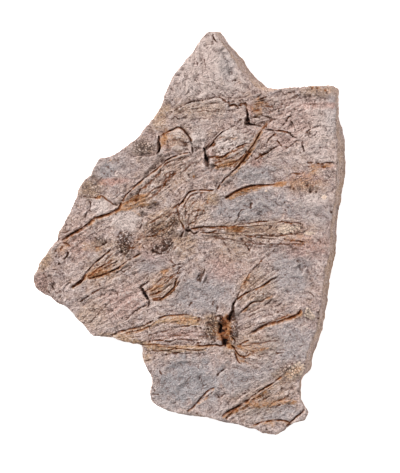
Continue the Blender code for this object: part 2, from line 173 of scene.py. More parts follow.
# Lumps and pits: place on the chart, radius and rise (in mm, down if negative).
SPOTS = {
    "knot_cup": (222, 327, 2.6, -2.0),
    "knot_cup_foot": (225, 342, 1.4, -1.4),
    "knot_blade": (232, 312, 2.2, 1.4),
    "knot_rim_east": (231, 334, 2.2, 0.9),
    "heart_cup": (182, 231, 2.4, 1.1),
    "heart_hollow": (187, 231, 1.6, -0.9),
    "lens_pit": (207.6, 162, 1.6, -1.4),
    "lens_belly": (232, 141, 8.0, 1.2),
    "little_lens": (176, 142, 5.5, 1.0),
    "rough_block": (143, 147, 5.5, 1.2),
    "chimney_foot": (248, 124, 1.2, -0.6),
    "peak_dome": (208, 68, 13.0, 0.8),
    "blister": (190, 270, 8.0, 0.5),
    "round_scar": (306, 342, 3.4, -0.5),
    "east_crust": (292, 228, 4.5, 0.5),
    "corner_crust": (294, 371, 4.5, 0.6),
    "rim_crust": (309, 314, 4.0, 0.5),
    "east_pit_1": (291, 187, 1.1, -0.8),
    "east_pit_2": (300, 188, 1.0, -0.7),
    "east_pit_3": (311, 190, 1.3, -0.9),
    "east_pit_4": (317, 188, 0.9, -0.7),
    "east_pit_5": (307, 184, 0.8, -0.6),
    "east_pit_6": (294, 181, 0.8, -0.5),
    "lens_throat": (214, 167, 1.2, -0.9),
    "west_tip_lump": (42, 284, 4.0, 0.4),
}

# Heaps of small plates: middle on the chart, half width and half length (in mm), how high (in mm)
# and how strongly the plates show.
HEAPS = {
    "west_cup": (124.5, 244, 4.2, 6.4, 1.2, 1.0),
    "heart_cup": (166, 245, 3.4, 3.6, 1.0, 1.0),
    "heart_ring": (156.5, 247.5, 2.0, 1.8, 0.6, 1.0),
    "rough_block": (143, 147, 6.0, 4.4, 0.7, 0.7),
    "north_block": (121, 163, 5.0, 2.0, 0.0, 0.3),
    "east_rough": (304, 184, 9.0, 5.0, 0.3, 0.35),
    "east_corner": (328, 176, 4.0, 4.0, 0.2, 0.4),
    "knot_west": (213, 328, 3.0, 7.0, 0.2, 0.8),
    "knot_east": (233, 328, 3.0, 6.0, 0.4, 0.7),
    "knot_foot": (228, 342, 4.0, 2.6, 0.2, 0.6),
    "tangle": (158, 230, 8.0, 5.0, 0.5, 0.55),
    "tangle_east": (176, 222, 3.4, 4.0, 0.4, 0.5),
    "north_scree": (262, 108, 7.0, 5.0, 0.2, 0.35),
    "tip_scree": (44, 284, 4.5, 4.5, 0.3, 0.5),
    "west_stipple": (99, 239, 3.4, 2.4, 0.2, 0.7),
    "west_scree": (90, 189, 5.0, 5.0, 0.2, 0.4),
    "corner_scree": (293, 371, 6.0, 3.6, 0.4, 0.9),
    "rim_scree": (308, 313, 3.0, 3.6, 0.3, 0.8),
    "band_scree": (209, 331, 3.0, 6.0, 0.0, 0.5),
    "east_crust_scree": (294, 229, 8.0, 2.6, 0.3, 0.5),
    "lens_scree": (262, 150, 5.0, 4.0, 0.0, 0.3),
}

# Small things on the face, by stain: place on the chart and radius (in mm). Each kind rises by a share of
# its radius.
SPECK_RISE = {"dark": -0.8, "rust": 0.1, "crust": 0.35}
SPECKS = {
    "dark": [
        (235.4, 80.4, 0.5), (233, 80.8, 0.4), (171.2, 112, 0.4), (181, 106.7, 0.45), (202.8, 100.8, 0.4),
        (274.8, 119.6, 0.5), (278.5, 111.5, 0.4), (283.1, 124.8, 0.5), (286, 121.2, 0.5),
        (290, 133.6, 0.6), (317.6, 163.8, 0.5), (322.7, 167.3, 0.5), (218.4, 396.2, 0.4),
        (218.4, 374.8, 0.6), (271.6, 119.8, 0.4), (188, 103.6, 0.35), (193.7, 101.5, 0.35),
        (176, 109.6, 0.35), (238, 108, 0.5), (246, 105, 0.4), (302, 143, 0.6), (303.6, 151, 0.5),
        (267, 153, 0.5), (261, 156.4, 0.5), (225, 93, 0.35), (209, 95, 0.3), (311.3, 88.6, 0.5),
        (316.4, 88.3, 0.5), (325, 90.6, 0.6), (326.8, 93.2, 0.5), (107.5, 167, 0.6), (111, 171, 0.5),
        (189, 175, 0.55), (58, 264, 0.7), (43, 274, 0.5), (45, 277, 0.5), (43, 269, 0.5), (96, 238, 0.6),
        (103, 244, 0.6), (106.5, 242, 0.6), (241, 239, 0.5), (240, 262, 0.5), (230, 260, 0.4),
        (297, 261, 0.5), (318, 312, 0.5), (318, 318, 0.5), (199, 318, 0.6), (198, 321, 0.5),
        (196, 327, 0.5), (201, 328, 0.5), (176, 354, 0.5), (218, 397, 0.5), (293, 189, 0.6),
        (307, 186, 0.6), (310, 192, 0.8), (313, 187, 0.5), (316, 192, 0.6), (239, 327.3, 0.5),
        (236.3, 329.9, 0.5), (212, 325.2, 0.5), (208.6, 329.2, 0.5), (220.4, 326.6, 0.7),
        (219.8, 330.8, 0.8), (224.4, 342.6, 0.7), (225.6, 344.4, 0.6), (231.8, 332.6, 0.6),
        (233.2, 335.2, 0.4), (222.4, 335.6, 0.4), (223.4, 337.6, 0.4), (228.6, 336.2, 0.4),
        (228.4, 340.2, 0.4), (236, 322.6, 0.4), (235.4, 326.4, 0.4), (214, 328.6, 0.4),
        (215.4, 332.6, 0.5), (212.4, 338, 0.4), (216.8, 345, 0.4), (206.6, 348, 0.4), (240.6, 344.6, 0.4),
        (212.7, 304.6, 0.5), (229.6, 321, 0.5), (232.8, 308.6, 0.5), (234.4, 311.6, 0.5),
        (229, 318.6, 0.8), (208, 322, 0.35), (206, 333, 0.35), (217.6, 339, 0.3), (230.4, 338.6, 0.35),
        (237.4, 333.4, 0.3), (59.2, 291.2, 0.5), (57.7, 264, 0.5), (54.6, 256.6, 0.4),
        (69.3, 299.8, 0.35), (57, 293, 0.4), (156.5, 248, 0.7), (120.5, 233, 0.6), (124, 236, 0.6),
        (127, 239, 0.6), (125, 244, 0.7), (121, 246, 0.6), (128, 249, 0.6), (122, 252, 0.6),
        (118, 237, 0.5), (130.6, 235, 0.5), (119, 242, 0.5), (131, 243, 0.5), (125.4, 254.4, 0.6),
        (117.4, 248, 0.5), (128, 245, 0.5), (123, 240, 0.5), (163, 243, 0.6), (167, 246, 0.6),
        (162, 250, 0.5), (168, 252, 0.5), (290, 188, 0.5), (277, 312, 0.5), (300, 153, 0.5),
        (215, 186, 0.4), (64, 262, 0.4), (138, 136.5, 0.5), (150, 127, 0.4), (331, 212, 0.6),
        (329, 272, 0.6), (262, 173, 0.4), (246, 152, 0.5)
    ],
    "rust": [
        (312, 88, 0.6), (318, 88, 0.6), (325, 91, 0.6), (329, 93, 0.6), (318, 164, 0.7), (323, 167, 0.6),
        (194, 177, 0.9), (98.6, 197, 1.0), (222, 322, 0.5), (224.6, 324.6, 0.9), (227.8, 330, 0.6),
        (228.6, 333, 0.6), (214, 331, 0.7), (213, 334, 0.5), (231, 346, 0.7), (229.6, 345, 0.5),
        (232, 339, 0.5), (223, 320.6, 0.4)
    ],
    "crust": [
        (324, 197, 1.0), (317, 197, 0.6), (321, 195, 0.5), (288, 185, 0.7), (291, 188, 0.6),
        (303, 186, 0.6), (312, 316, 1.1), (224, 281, 0.5), (247, 309, 0.5), (227, 190, 0.5),
        (266, 191, 0.7), (122, 146, 0.5), (290, 210, 0.5)
    ],
}

# Spots of one finish with a drawn outline: stain, strength, rise (in mm) and outline on the chart.
BLOTS = {
    "knot_spike": ("dark", 0.66, -0.5, [
        (235.5, 300.5), (233.5, 303), (232.4, 305.6), (233, 309), (230.4, 311.6), (228, 314.6),
        (226.4, 317.6), (228, 319.6), (230, 323), (231, 320), (233.4, 318.4), (235.6, 316.4),
        (235.8, 312), (234.8, 309.4), (235.8, 308), (234.4, 306.4)
    ]),
    "knot_arch": ("dark", 0.9, -0.5, [
        (218.6, 316.2), (222.3, 315.6), (223.4, 318.4), (221.6, 320.2), (219, 319.6)
    ]),
    "knot_glow": ("rust", 1.0, -0.5, [
        (221.6, 324), (224, 322.6), (226.6, 322.6), (226.8, 326), (224, 328), (221.8, 328)
    ]),
    # The hole's dark is partly dark oxide and partly painted shade in the cavity.
    "knot_hole": ("dark", 1.0, -0.7, [
        (218.6, 323.4), (220.2, 323.2), (221, 326), (222, 329), (224.6, 328.6), (226.8, 327),
        (227, 328.4), (224.6, 330.8), (221.6, 332.8), (218.4, 332.6), (219, 329.6), (218.4, 326.6)
    ]),
    "knot_pink": ("pink", 0.9, 0.2, [
        (223, 332.6), (226, 331.6), (226.6, 334.4), (224.6, 336), (222.8, 334.6)
    ]),
    "knot_peach": ("rust", 0.8, 0.3, [
        (227, 325.6), (229.6, 325), (230.4, 335), (227.4, 336), (226.4, 331)
    ]),
    "knot_throat": ("dark", 1.0, -0.6, [
        (223.4, 339.4), (227.2, 339.2), (227, 341), (225.8, 341.8), (226.4, 344.8), (224.2, 345.4),
        (223, 342.4)
    ]),
    "knot_root": ("rust", 0.9, 0.1, [
        (227.6, 344), (232, 343.8), (233.6, 348), (229.6, 349), (226.6, 346.6)
    ]),
    "knot_olive": ("dark", 0.7, -0.4, [(230.4, 331), (232.8, 331), (233, 334), (231, 334.4)]),
    "band_upper": ("ochre", 1.0, 0.25, [
        (110, 336.5), (121, 331.5), (135, 328.4), (150, 322.6), (165, 316.6), (182, 315), (197, 316),
        (201, 326), (188, 325.6), (172, 321.6), (158, 324), (146, 329), (132, 333), (118, 336.6)
    ]),
    "band_lower": ("ochre", 1.0, 0.2, [
        (116, 338), (132, 338.6), (146, 342), (156, 345.6), (170, 346.4), (184, 344.6), (206, 346.6),
        (206, 351), (190, 352), (165, 353), (148, 351), (143, 345), (130, 342.6)
    ]),
    # Painted shadow in the cleft at the lens's rim.
    "lens_cleft": ("dark", 1.0, -1.1, [
        (201.6, 147), (205, 148.4), (206, 153), (207.8, 157.6), (209, 163), (209.6, 167), (207.6, 166),
        (206, 161.6), (204.6, 156), (203.6, 151)
    ]),
    "chimney_foot": ("dark", 1.0, -0.6, [
        (246.2, 118), (247.8, 118), (248.2, 121.6), (252.6, 124.6), (249, 125.8), (245.4, 125.2),
        (246.4, 122)
    ]),
    # Painted shadow cast by the rough block.
    "block_side": ("dark", 0.8, -0.4, [
        (157.6, 136.4), (159.6, 135.6), (159.2, 141), (160.4, 146), (159.6, 151), (157, 154),
        (158.6, 149), (158, 142)
    ]),
    "block_glow": ("rust", 0.39, 0.0, [(160, 138), (166, 134), (169, 137), (166, 144), (161, 149)]),
    "lens_glow": ("rust", 0.22, 0.0, [
        (214, 165), (226, 161), (237, 153), (246, 150), (240, 160), (228, 167), (216, 170)
    ]),
    "west_glow": ("rust", 0.24, 0.1, [
        (118, 204), (128, 200), (144, 194), (147, 197), (140, 203), (126, 210), (119, 211)
    ]),
    "notch_glow": ("rust", 0.21, 0.0, [
        (143, 289), (150, 285), (162, 278), (168, 281), (160, 296), (152, 301)
    ]),
    "tip_glow": ("rust", 0.32, 0.0, [(86, 274), (93, 266), (100, 268), (108, 272), (96, 277), (87, 279)]),
    "heart_glow": ("rust", 0.24, 0.0, [
        (224, 227), (242, 225), (262, 224), (262, 228), (240, 231), (226, 231)
    ]),
    "knot_arm_glow": ("rust", 0.12, 0.0, [
        (236, 346), (246, 345), (262, 346), (270, 348), (258, 352), (244, 352)
    ]),
    "notch_cleft": ("dark", 0.9, -0.7, [
        (140.2, 286.2), (142.8, 285.6), (143, 289), (145.8, 293), (148.6, 297.6), (150, 301.6),
        (148.6, 302.4), (146, 298.6), (142.8, 293.6), (140.6, 289.6)
    ]),
    # The scars' dark grey is painted shadow along their dents.
    "scar": ("dark", 0.5, -0.8, [
        (198, 281), (199, 277), (202, 272), (205, 268), (206, 271), (203, 277), (200.6, 282)
    ]),
    "scar_low": ("dark", 0.4, -0.3, [(188.6, 306), (190, 302.4), (192.6, 300.4), (192, 304)]),
    "scar_east": ("dark", 0.35, -0.3, [(211.6, 304), (213, 300), (215, 299.6), (214, 303.6)]),
    "flake_foot": ("dark", 0.4, -0.4, [(249, 202), (251.6, 202), (251.6, 208), (249, 209)]),
}

# Short cuts scattered over the middle of the chart, and small pits near the lines
NICKS = 260
NICK_FIELD = ((35, 95), (335, 430))
NICK_TURN = (-0.75, 0.55)  # mean and spread, in radians
NICK_HALF = (1.5, 5.5)  # half the length, in chart units
NICK_BOW = 0.25
PITS = 340
PIT_RADII = (0.22, 0.5)  # in mm
PIT_SCATTER = 1.3 * MM

# What each kind of line is: width and depth (in mm, up if negative), how dark its bed is, how rusty it is,
# and how far the rust spreads (in mm).
KINDS = {
    "column": (1.5, 0.8, 1.0, 1.0, 1.0),
    "arm": (1.0, 0.62, 1.0, 0.8, 0.75),
    "thread": (0.66, 0.52, 1.0, 0.55, 0.6),
    "hair": (0.46, 0.34, 0.74, 0.3, 0.45),
    "gap": (0.46, 0.4, 0.7, 0.24, 0.45),
    "cleft": (1.1, 1.2, 1.0, 0.3, 0.7),
    "scratch": (0.75, 0.6, 1.0, 0.35, 0.5),
    "seam": (0.7, 0.55, 0.95, 0.08, 0.5),
    "rust": (0.9, 0.16, 0.3, 0.9, 0.8),
    "orange": (1.7, -0.22, 0.1, 0.9, 1.0),
    "ochre": (1.6, -0.16, 0.0, 0.7, 1.1),
    "ridge": (1.1, -0.5, 0.0, 0.1, 0.8),
    "dent": (7.0, 1.2, 0.0, 0.0, 0.4),
    "fold": (3.0, 0.6, 0.0, 0.0, 0.4),
}

# Kinds that need no points but their middle line's, and kinds that need the most
PLAIN_KINDS = ("hair", "gap", "dent", "fold")
WIDE_KINDS = ("column", "cleft", "arm")

# Every line on the face, by region: its kind and its points on the chart.
LINES = {
    "peak": [
        ("seam", [(204.6, 45.6), (209, 44.4), (215, 43.4)]),
        ("thread", [(213, 33), (214, 38), (218, 44)]),
        ("hair", [(200, 51), (199, 56)]),
        ("seam", [(193.2, 86.4), (189, 91.6), (184, 97)]),
        ("hair", [(177.5, 85.4), (182, 82), (188, 78.3)]),
        ("hair", [(172, 102), (174, 98.6), (177, 95.8)]),
        ("hair", [(197, 60), (198, 68)]),
        ("hair", [(204, 58), (206, 66), (205, 72)]),
        ("dent", [(222, 48), (226, 58), (229, 68), (231, 78)]),
        ("dent", [(196, 74), (198, 84), (196, 94)]),
        ("fold", [(182, 66), (187, 76), (184, 86)]),
        ("fold", [(203, 52), (202, 64), (205, 78)]),
        ("fold", [(214, 72), (216, 84), (222, 92)]),
        ("fold", [(236, 78), (243, 86), (252, 90)]),
        ("seam", [(169, 116.2), (172, 112), (176, 109.6), (181, 106.6), (188, 103.6), (193.7, 101.5),
                  (202.8, 100.8)]),
        ("hair", [(203, 101), (210, 99), (216, 97), (222, 98.6), (227.4, 103), (236, 101.6), (240, 100)]),
        ("thread", [(221.8, 98.7), (225, 101), (227.4, 103)]),
        ("thread", [(229, 104), (229, 108)]),
        ("seam", [(170, 121), (175, 117), (178, 119), (185, 117), (189, 114)]),
        ("hair", [(176, 114), (184, 111), (192, 109), (200, 108)]),
        ("hair", [(196, 113), (204, 111), (212, 111), (222, 109)]),
        ("hair", [(188, 121), (198, 118), (210, 119), (220, 116)]),
        ("hair", [(206, 105), (214, 103), (224, 106)]),
    ],
    "chimney": [
        ("cleft", [(235.6, 108.4), (238, 107.2)]),
        ("arm", [(229, 107), (232, 104.8), (236, 105.6), (238.4, 108)]),
        ("arm", [(239, 104.6), (243, 104), (246.4, 106.4)]),
        ("cleft", [(246.4, 110), (248.4, 116), (248.8, 122), (250.6, 125)]),
        ("scratch", [(237.6, 106.4), (240, 105.4), (242.4, 105.6)]),
        ("scratch", [(242, 104.6), (245, 103.8), (246.6, 105.4), (246, 107.4)]),
        ("cleft", [(245.2, 106.6), (246.6, 110), (247.6, 114), (247.6, 119), (247, 123.6)]),
        ("cleft", [(244.6, 124.2), (248, 124.4), (252, 125.6)]),
        ("scratch", [(229, 100.4), (229.4, 106)]),
        ("thread", [(238, 100.6), (244, 99.4)]),
        ("scratch", [(237, 124.6), (239, 121), (243, 119)]),
        ("ridge", [(250, 104), (250.6, 112), (250, 120)]),
        ("ridge", [(243, 112), (243.2, 117), (243, 123)]),
        ("arm", [(256, 97.6), (262, 95)]),
        ("arm", [(257, 102.2), (264, 100)]),
        ("thread", [(258, 99.8), (266, 97.4)]),
        ("thread", [(263, 106.6), (268, 106.4), (274, 107.8)]),
        ("thread", [(252, 112), (256, 110.6), (260.7, 111)]),
        ("thread", [(252, 117.6), (261, 117.2)]),
        ("orange", [(254, 114.6), (258, 113.4), (262, 114)]),
        ("seam", [(260.7, 112.7), (263, 115.6), (268.2, 117.3), (271.6, 119.6)]),
        ("scratch", [(251, 125.4), (255, 125.4), (262.5, 126.2)]),
        ("arm", [(263.6, 129.4), (272.2, 130.5), (278, 131), (286, 132.2), (290, 133.7)]),
        ("thread", [(278, 131), (283.1, 124.8), (286, 121), (287.7, 117.9), (293.5, 114.4)]),
        ("hair", [(250, 100), (258, 99.6), (268, 97)]),
        ("hair", [(253, 104.6), (260, 104), (270, 103)]),
    ],
    "north_east": [
        ("hair", [(283, 110), (288, 104), (292, 98), (299, 94)]),
        ("thread", [(264.2, 146.6), (267, 142), (271, 137.4), (276.8, 132.8)]),
        ("thread", [(271.6, 120.2), (265.3, 127), (262, 130)]),
        ("hair", [(269, 120), (263, 127), (259, 132)]),
        ("thread", [(276.8, 139.7), (280, 144.6), (283.7, 148.9)]),
        ("seam", [(289, 133.2), (293, 136.8), (298, 138.8)]),
        ("thread", [(298, 139), (294.6, 142.6), (289.4, 146.6), (284.3, 149.6)]),
        ("hair", [(289.4, 119), (292.9, 125.9), (296, 131)]),
        ("seam", [(300.3, 142), (302, 146), (303.8, 151.4)]),
        ("thread", [(303.2, 134.5), (307, 131.6), (311.8, 128.2), (320, 126)]),
        ("hair", [(305, 136), (312, 131), (318, 129)]),
        ("hair", [(302.7, 116.7), (301, 119), (299.8, 121)]),
        ("thread", [(255, 159.8), (260.7, 156.4), (267.6, 152.3), (272.2, 148.9), (278, 146)]),
        ("thread", [(255, 153), (261, 153.4), (266.5, 152.3)]),
        ("hair", [(303.8, 104.1), (312, 104.4), (320.5, 104.1)]),
        ("hair", [(296, 98), (300, 94), (304, 92)]),
        ("fold", [(318, 110), (326, 122), (330, 136)]),
        ("fold", [(304, 112), (296, 122), (288, 130)]),
        ("dent", [(300, 100), (316, 98), (328, 104)]),
        ("fold", [(310, 158), (320, 150), (328, 140)]),
        ("hair", [(282, 96), (288, 93), (296, 92)]),
    ],
    "north_lens": [
        ("cleft", [(237, 125), (233, 127), (229, 129), (223.3, 132), (219.3, 135.3), (214, 140),
                   (208.7, 144.7),
                   (205.4, 148.6)]),
        ("cleft", [(202, 148), (204.7, 150), (205.3, 155.3), (207.3, 159.3), (208, 164.7), (209.3, 167.3)]),
        ("thread", [(208, 149), (213, 146), (217, 143)]),
        ("cleft", [(204.6, 150), (209, 147.4), (213, 143.6), (216, 138.6)]),
        ("cleft", [(203.6, 152), (206.6, 157), (208, 162), (209, 167)]),
        ("arm", [(208.6, 157.6), (215, 158), (222, 157), (230, 152.6), (240, 146), (250, 143.4)]),
        ("thread", [(213, 159), (225, 156.8), (235, 151), (246.7, 145.2)]),
        ("hair", [(231.7, 153.6), (241.7, 148.4), (251.7, 146)]),
        ("thread", [(214, 163), (222, 160.6), (232, 158), (240, 153)]),
        ("thread", [(216, 168), (226, 166), (236, 162), (244, 156)]),
        ("scratch", [(212.6, 165), (217, 166.6), (220, 169)]),
        ("rust", [(217, 137), (225, 137), (232, 138), (240, 137)]),
        ("thread", [(211, 157), (217, 156), (222, 156)]),
        ("thread", [(213, 165), (217, 163), (224, 161)]),
        ("rust", [(215, 168), (219, 166), (226, 164), (233, 163)]),
        ("arm", [(228, 163), (238, 161), (242, 157), (246, 153)]),
    ],
    "slanting_column": [
        ("arm", [(263.6, 129.4), (260.7, 132.8), (257.3, 138), (255, 144), (251, 149)]),
        ("column", [(251, 149), (248.4, 153.6), (245, 159), (241.4, 163.4)]),
        ("cleft", [(247, 154.6), (243, 160.4), (238.6, 166.4), (234.6, 171)]),
        ("arm", [(241.4, 163.4), (238, 167), (233, 171.6), (229.3, 175.3)]),
        ("orange", [(240, 166.6), (234, 172.6), (230, 176.6)]),
        ("arm", [(229.3, 175.3), (223.3, 180.7), (219.3, 186), (216.7, 190)]),
        ("arm", [(216.7, 190), (209, 190.4), (203.3, 190), (195.3, 190.2), (190, 192), (186.7, 195.3),
                 (184, 199.3),
                 (181.6, 204)]),
        ("arm", [(188, 195), (184.6, 199), (182, 202), (178, 208), (179, 214), (180, 220), (183, 226),
                 (184, 231), (182, 235), (180, 238)]),
        ("thread", [(206, 192.7), (198, 192.8), (192, 194.6), (189, 198), (186, 203), (183, 209)]),
        ("rust", [(201, 207), (206, 202), (209, 197)]),
        ("thread", [(188, 216), (193, 212), (200, 210), (208, 211)]),
        ("thread", [(192, 217), (200, 215), (208, 213)]),
        ("thread", [(187, 225), (192, 223), (196, 221)]),
        ("thread", [(252, 161), (259.6, 156.4), (264.8, 154), (268, 152)]),
        ("hair", [(268, 152), (272, 149), (276.8, 146)]),
        ("thread", [(242.6, 160.6), (246, 155), (251, 147), (256, 140), (260, 134)]),
    ],
    "lone_arm": [
        ("orange", [(227, 199.4), (233, 195.4), (239, 191.8), (245, 189.4), (252, 187.8), (260, 187)]),
        ("arm", [(226, 198), (236, 191.2), (246, 187.4), (256, 185.6), (266, 185.2), (276, 184.2)]),
        ("column", [(224.6, 199), (231, 194.6), (237, 191), (243, 188.6), (250, 186.6), (257, 185.7),
                    (264, 185.4)]),
        ("orange", [(264, 185), (274, 184), (285, 183)]),
        ("thread", [(284, 179), (288, 176), (292, 173), (300, 174), (301, 172)]),
        ("cleft", [(250, 202.6), (250, 208)]),
        ("scratch", [(249.6, 207), (245.4, 209.4), (241.6, 210.8), (238.6, 214), (239, 218)]),
        ("seam", [(242, 200.4), (244.4, 199.4)]),
        ("fold", [(238, 204), (246, 206), (252, 212)]),
    ],
    "east": [
        ("thread", [(305.5, 162.7), (312, 163.4), (317.6, 163.8), (326.2, 163.2), (334, 163)]),
        ("rust", [(310, 165.6), (317, 166.4), (326, 166.6), (333, 165.6)]),
        ("dent", [(246, 200), (256, 210), (270, 216)]),
        ("fold", [(262, 196), (272, 204), (284, 206)]),
        ("fold", [(300, 208), (312, 214), (326, 216)]),
        ("fold", [(250, 262), (264, 270), (282, 272)]),
        ("dent", [(296, 266), (308, 276), (314, 290)]),
        ("fold", [(270, 300), (282, 306), (296, 304)]),
        ("fold", [(270, 336), (284, 342), (298, 338)]),
        ("rust", [(310, 172), (318, 169)]),
        ("seam", [(310, 187), (316, 184), (322, 182), (330, 180)]),
        ("seam", [(337, 180), (336, 192), (334, 202), (333, 207)]),
    ],
    "north_west": [
        ("seam", [(156, 154), (150, 155.4), (143.3, 156.7), (138.7, 158.7)]),
        ("cleft", [(156, 154), (159.3, 151.3), (159.6, 146), (158.3, 142), (158.7, 136)]),
        ("arm", [(159, 136.6), (163.3, 134), (167.3, 132), (172.7, 129.7), (176.7, 127.3), (182, 128.7),
                 (186, 133.3), (190, 138.7), (190.7, 142)]),
        ("thread", [(162, 131), (164, 137)]),
        ("seam", [(182.7, 142.4), (186, 142.8), (190.4, 142)]),
        ("seam", [(188.4, 145.3), (183.4, 145.4)]),
        ("seam", [(183.6, 146.4), (183, 150)]),
        ("seam", [(184.4, 149.6), (188.8, 149.2)]),
        ("seam", [(191.3, 146), (192.4, 150), (193.4, 154)]),
        ("seam", [(167.3, 150), (168.7, 154), (169.6, 158)]),
        ("dent", [(200, 138), (203, 146), (204, 158)]),
        ("fold", [(196, 132), (198, 142), (196, 152)]),
        ("fold", [(147, 128), (152, 134), (156, 142)]),
        ("dent", [(166, 162), (154, 172), (142, 184)]),
        ("ochre", [(99, 165), (106, 161), (112, 158)]),
    ],
    "west_crown": [
        ("arm", [(121, 201.6), (123.3, 199.3), (126, 195.3), (131.3, 190), (138.7, 183.3), (146, 176.7),
                 (155.3, 170),
                 (162, 164.7), (164.7, 161.3), (170, 158.3), (176.7, 156), (184.7, 153.3), (190, 152.7)]),
        ("thread", [(136.7, 195.3), (140.7, 190), (147.3, 184.7), (152.7, 179.3), (159.3, 172.7),
                    (161.3, 168.7),
                    (166, 163.3), (174, 160), (182, 157.6)]),
        ("thread", [(146, 197), (152.7, 190), (159.3, 186.7), (163.3, 182), (170, 175.3), (176.7, 170.7)]),
        ("thread", [(148.7, 200), (152.7, 196.7), (160.7, 190), (164, 184.7), (167.3, 179.3),
                    (172.7, 175.3),
                    (179.3, 172), (184.7, 170.7), (193.3, 162.7)]),
        ("orange", [(116, 209), (125, 208.6), (133, 206), (140, 204), (147, 204), (157, 200.6)]),
        ("rust", [(121, 204), (128, 202), (136, 198), (144, 194)]),
        ("thread", [(124, 202), (131, 201), (138, 200)]),
        ("orange", [(131, 209), (137, 213), (141, 218)]),
        ("thread", [(141, 218), (143, 222), (142.8, 225)]),
        ("seam", [(139, 207), (144, 207)]),
        ("seam", [(143, 222), (141, 226), (138, 231)]),
    ],
    "west_column": [
        ("column", [(60, 241), (66, 237), (75, 232), (82, 229), (87, 225), (94, 219), (102, 216),
                    (110, 213), (117, 209), (121, 202)]),
        ("scratch", [(60, 241.6), (56, 247), (52.4, 254.4)]),
        ("scratch", [(62.6, 245), (58.4, 251), (55, 256.6)]),
        ("seam", [(60, 243), (66, 244), (70, 247)]),
        ("seam", [(66, 250), (67.6, 254), (65, 258), (62, 260)]),
        ("arm", [(80, 197), (88, 197), (97, 198), (101, 196), (105, 199), (110, 202), (113, 204),
                 (118, 206)]),
        ("seam", [(87.6, 200), (90, 204), (89, 210), (86, 213.6), (84.6, 219)]),
        ("seam", [(110, 203), (110.4, 209.6)]),
        ("thread", [(93.7, 248), (99, 246.4), (103.5, 244.6), (107.7, 242)]),
        ("hair", [(112, 197), (116, 194), (118, 190)]),
        ("thread", [(63, 226), (68, 225), (73, 224)]),
        ("thread", [(58, 234), (66, 232), (75, 229)]),
        ("thread", [(62, 242), (66, 244), (70, 247)]),
        ("thread", [(67, 252), (66, 256), (62, 260)]),
    ],
    "west_tip": [
        ("scratch", [(33, 279), (35, 278)]),
        ("scratch", [(36.6, 277), (40, 275)]),
        ("seam", [(52.3, 280.4), (53.4, 284), (52.8, 287)]),
        ("seam", [(49.6, 285), (53, 288), (55, 291.6), (57, 294)]),
        ("hair", [(51.5, 273.2), (55, 273), (59.4, 272)]),
        ("hair", [(46, 290), (49, 293), (51, 296)]),
        ("fold", [(46, 270), (50, 278), (54, 288)]),
    ],
    "tip_crown": [
        ("column", [(69.4, 287.1), (73, 286), (76.5, 284), (80.5, 281), (83.5, 277.6), (85.6, 273.4)]),
        ("cleft", [(70.6, 287.6), (75, 285.6), (80, 282.4), (84, 278.4)]),
        ("arm", [(85.4, 273.6), (88.4, 269.4), (91.4, 266.2), (95, 263), (98.6, 260), (103, 256.4),
                 (108, 252),
                 (111, 249)]),
        ("arm", [(86.6, 277.8), (91, 278.5), (96, 277), (100, 276), (105, 274), (112, 271), (119, 268),
                 (124, 264),
                 (131, 259), (138, 255), (143, 252)]),
        ("thread", [(86.4, 275), (88.6, 276), (92, 273), (96, 271.5)]),
        ("thread", [(96, 269), (102, 267), (108, 264), (118, 257)]),
        ("thread", [(120, 272), (125, 271), (130, 268), (133, 264)]),
        ("thread", [(137, 266), (140, 262), (146, 260)]),
        ("seam", [(71.6, 282.2), (68.4, 282.6), (66, 285), (64, 287.6), (62.4, 290.6), (63.6, 292.6)]),
        ("seam", [(61.2, 293.4), (60, 296.2), (57.3, 298.6)]),
        ("scratch", [(60.6, 301), (64, 300)]),
        ("thread", [(77.6, 302.6), (80.2, 301.4), (84, 299), (88, 296.4), (93, 293), (96, 291),
                    (104, 287)]),
        ("hair", [(82, 320), (90, 312), (97, 305)]),
        ("hair", [(87, 325), (95, 317), (100, 311), (112, 300)]),
        ("ochre", [(82, 248), (88, 250), (95, 249), (103, 245)]),
    ],
    "centre_stone": [
        ("fold", [(104, 178), (116, 172), (128, 166)]),
        ("fold", [(96, 226), (106, 222), (116, 216)]),
        ("dent", [(140, 214), (152, 212), (162, 206)]),
        ("fold", [(70, 262), (76, 254), (84, 244)]),
        ("fold", [(56, 276), (62, 270), (66, 262)]),
        ("dent", [(200, 246), (212, 254), (222, 262)]),
        ("fold", [(184, 282), (194, 290), (206, 292)]),
        ("ridge", [(207.6, 268), (205, 275), (203, 282)]),
        ("fold", [(196, 268), (206, 262), (216, 252)]),
        ("fold", [(160, 300), (172, 304), (186, 298)]),
        ("fold", [(106, 312), (118, 306), (130, 296)]),
        ("fold", [(80, 306), (92, 300), (104, 292)]),
        ("fold", [(128, 268), (140, 276), (152, 272)]),
        ("fold", [(210, 172), (222, 168), (232, 160)]),
        ("dent", [(214, 186), (226, 184), (238, 176)]),
    ],
    "heart_tangle": [
        ("seam", [(118.4, 238), (119, 234), (122, 231.6)]),
        ("seam", [(130.4, 244), (129.4, 250), (126.4, 255.6)]),
        ("scratch", [(147, 224.6), (152, 222), (157, 219), (163, 216)]),
        ("scratch", [(133.6, 240.4), (134.6, 243.4)]),
        ("seam", [(142, 246), (144.4, 249)]),
        ("seam", [(161, 241), (166, 239), (171, 240)]),
        ("seam", [(160, 252), (165, 250), (170, 246), (174, 241)]),
        ("seam", [(151, 247), (153, 250.6), (157, 252), (161, 254)]),
        ("seam", [(150, 250), (155, 253), (160, 254), (163, 255)]),
        ("thread", [(134, 240), (140, 239), (146, 237), (152, 236), (157, 233), (161, 228), (167, 222)]),
        ("thread", [(160, 232), (165, 229), (169, 226)]),
        ("thread", [(150, 222), (155, 219), (161, 216), (164, 214)]),
        ("thread", [(170, 213), (175, 213), (179, 213)]),
        ("thread", [(128, 248), (136, 248)]),
        ("thread", [(143, 245), (144, 249)]),
        ("thread", [(173, 250), (180, 243), (187, 238)]),
        ("thread", [(166, 255), (169, 259), (173, 263), (177, 265)]),
        ("thread", [(174, 198), (178, 195), (181, 194)]),
        ("thread", [(172, 209), (176, 206), (180, 203)]),
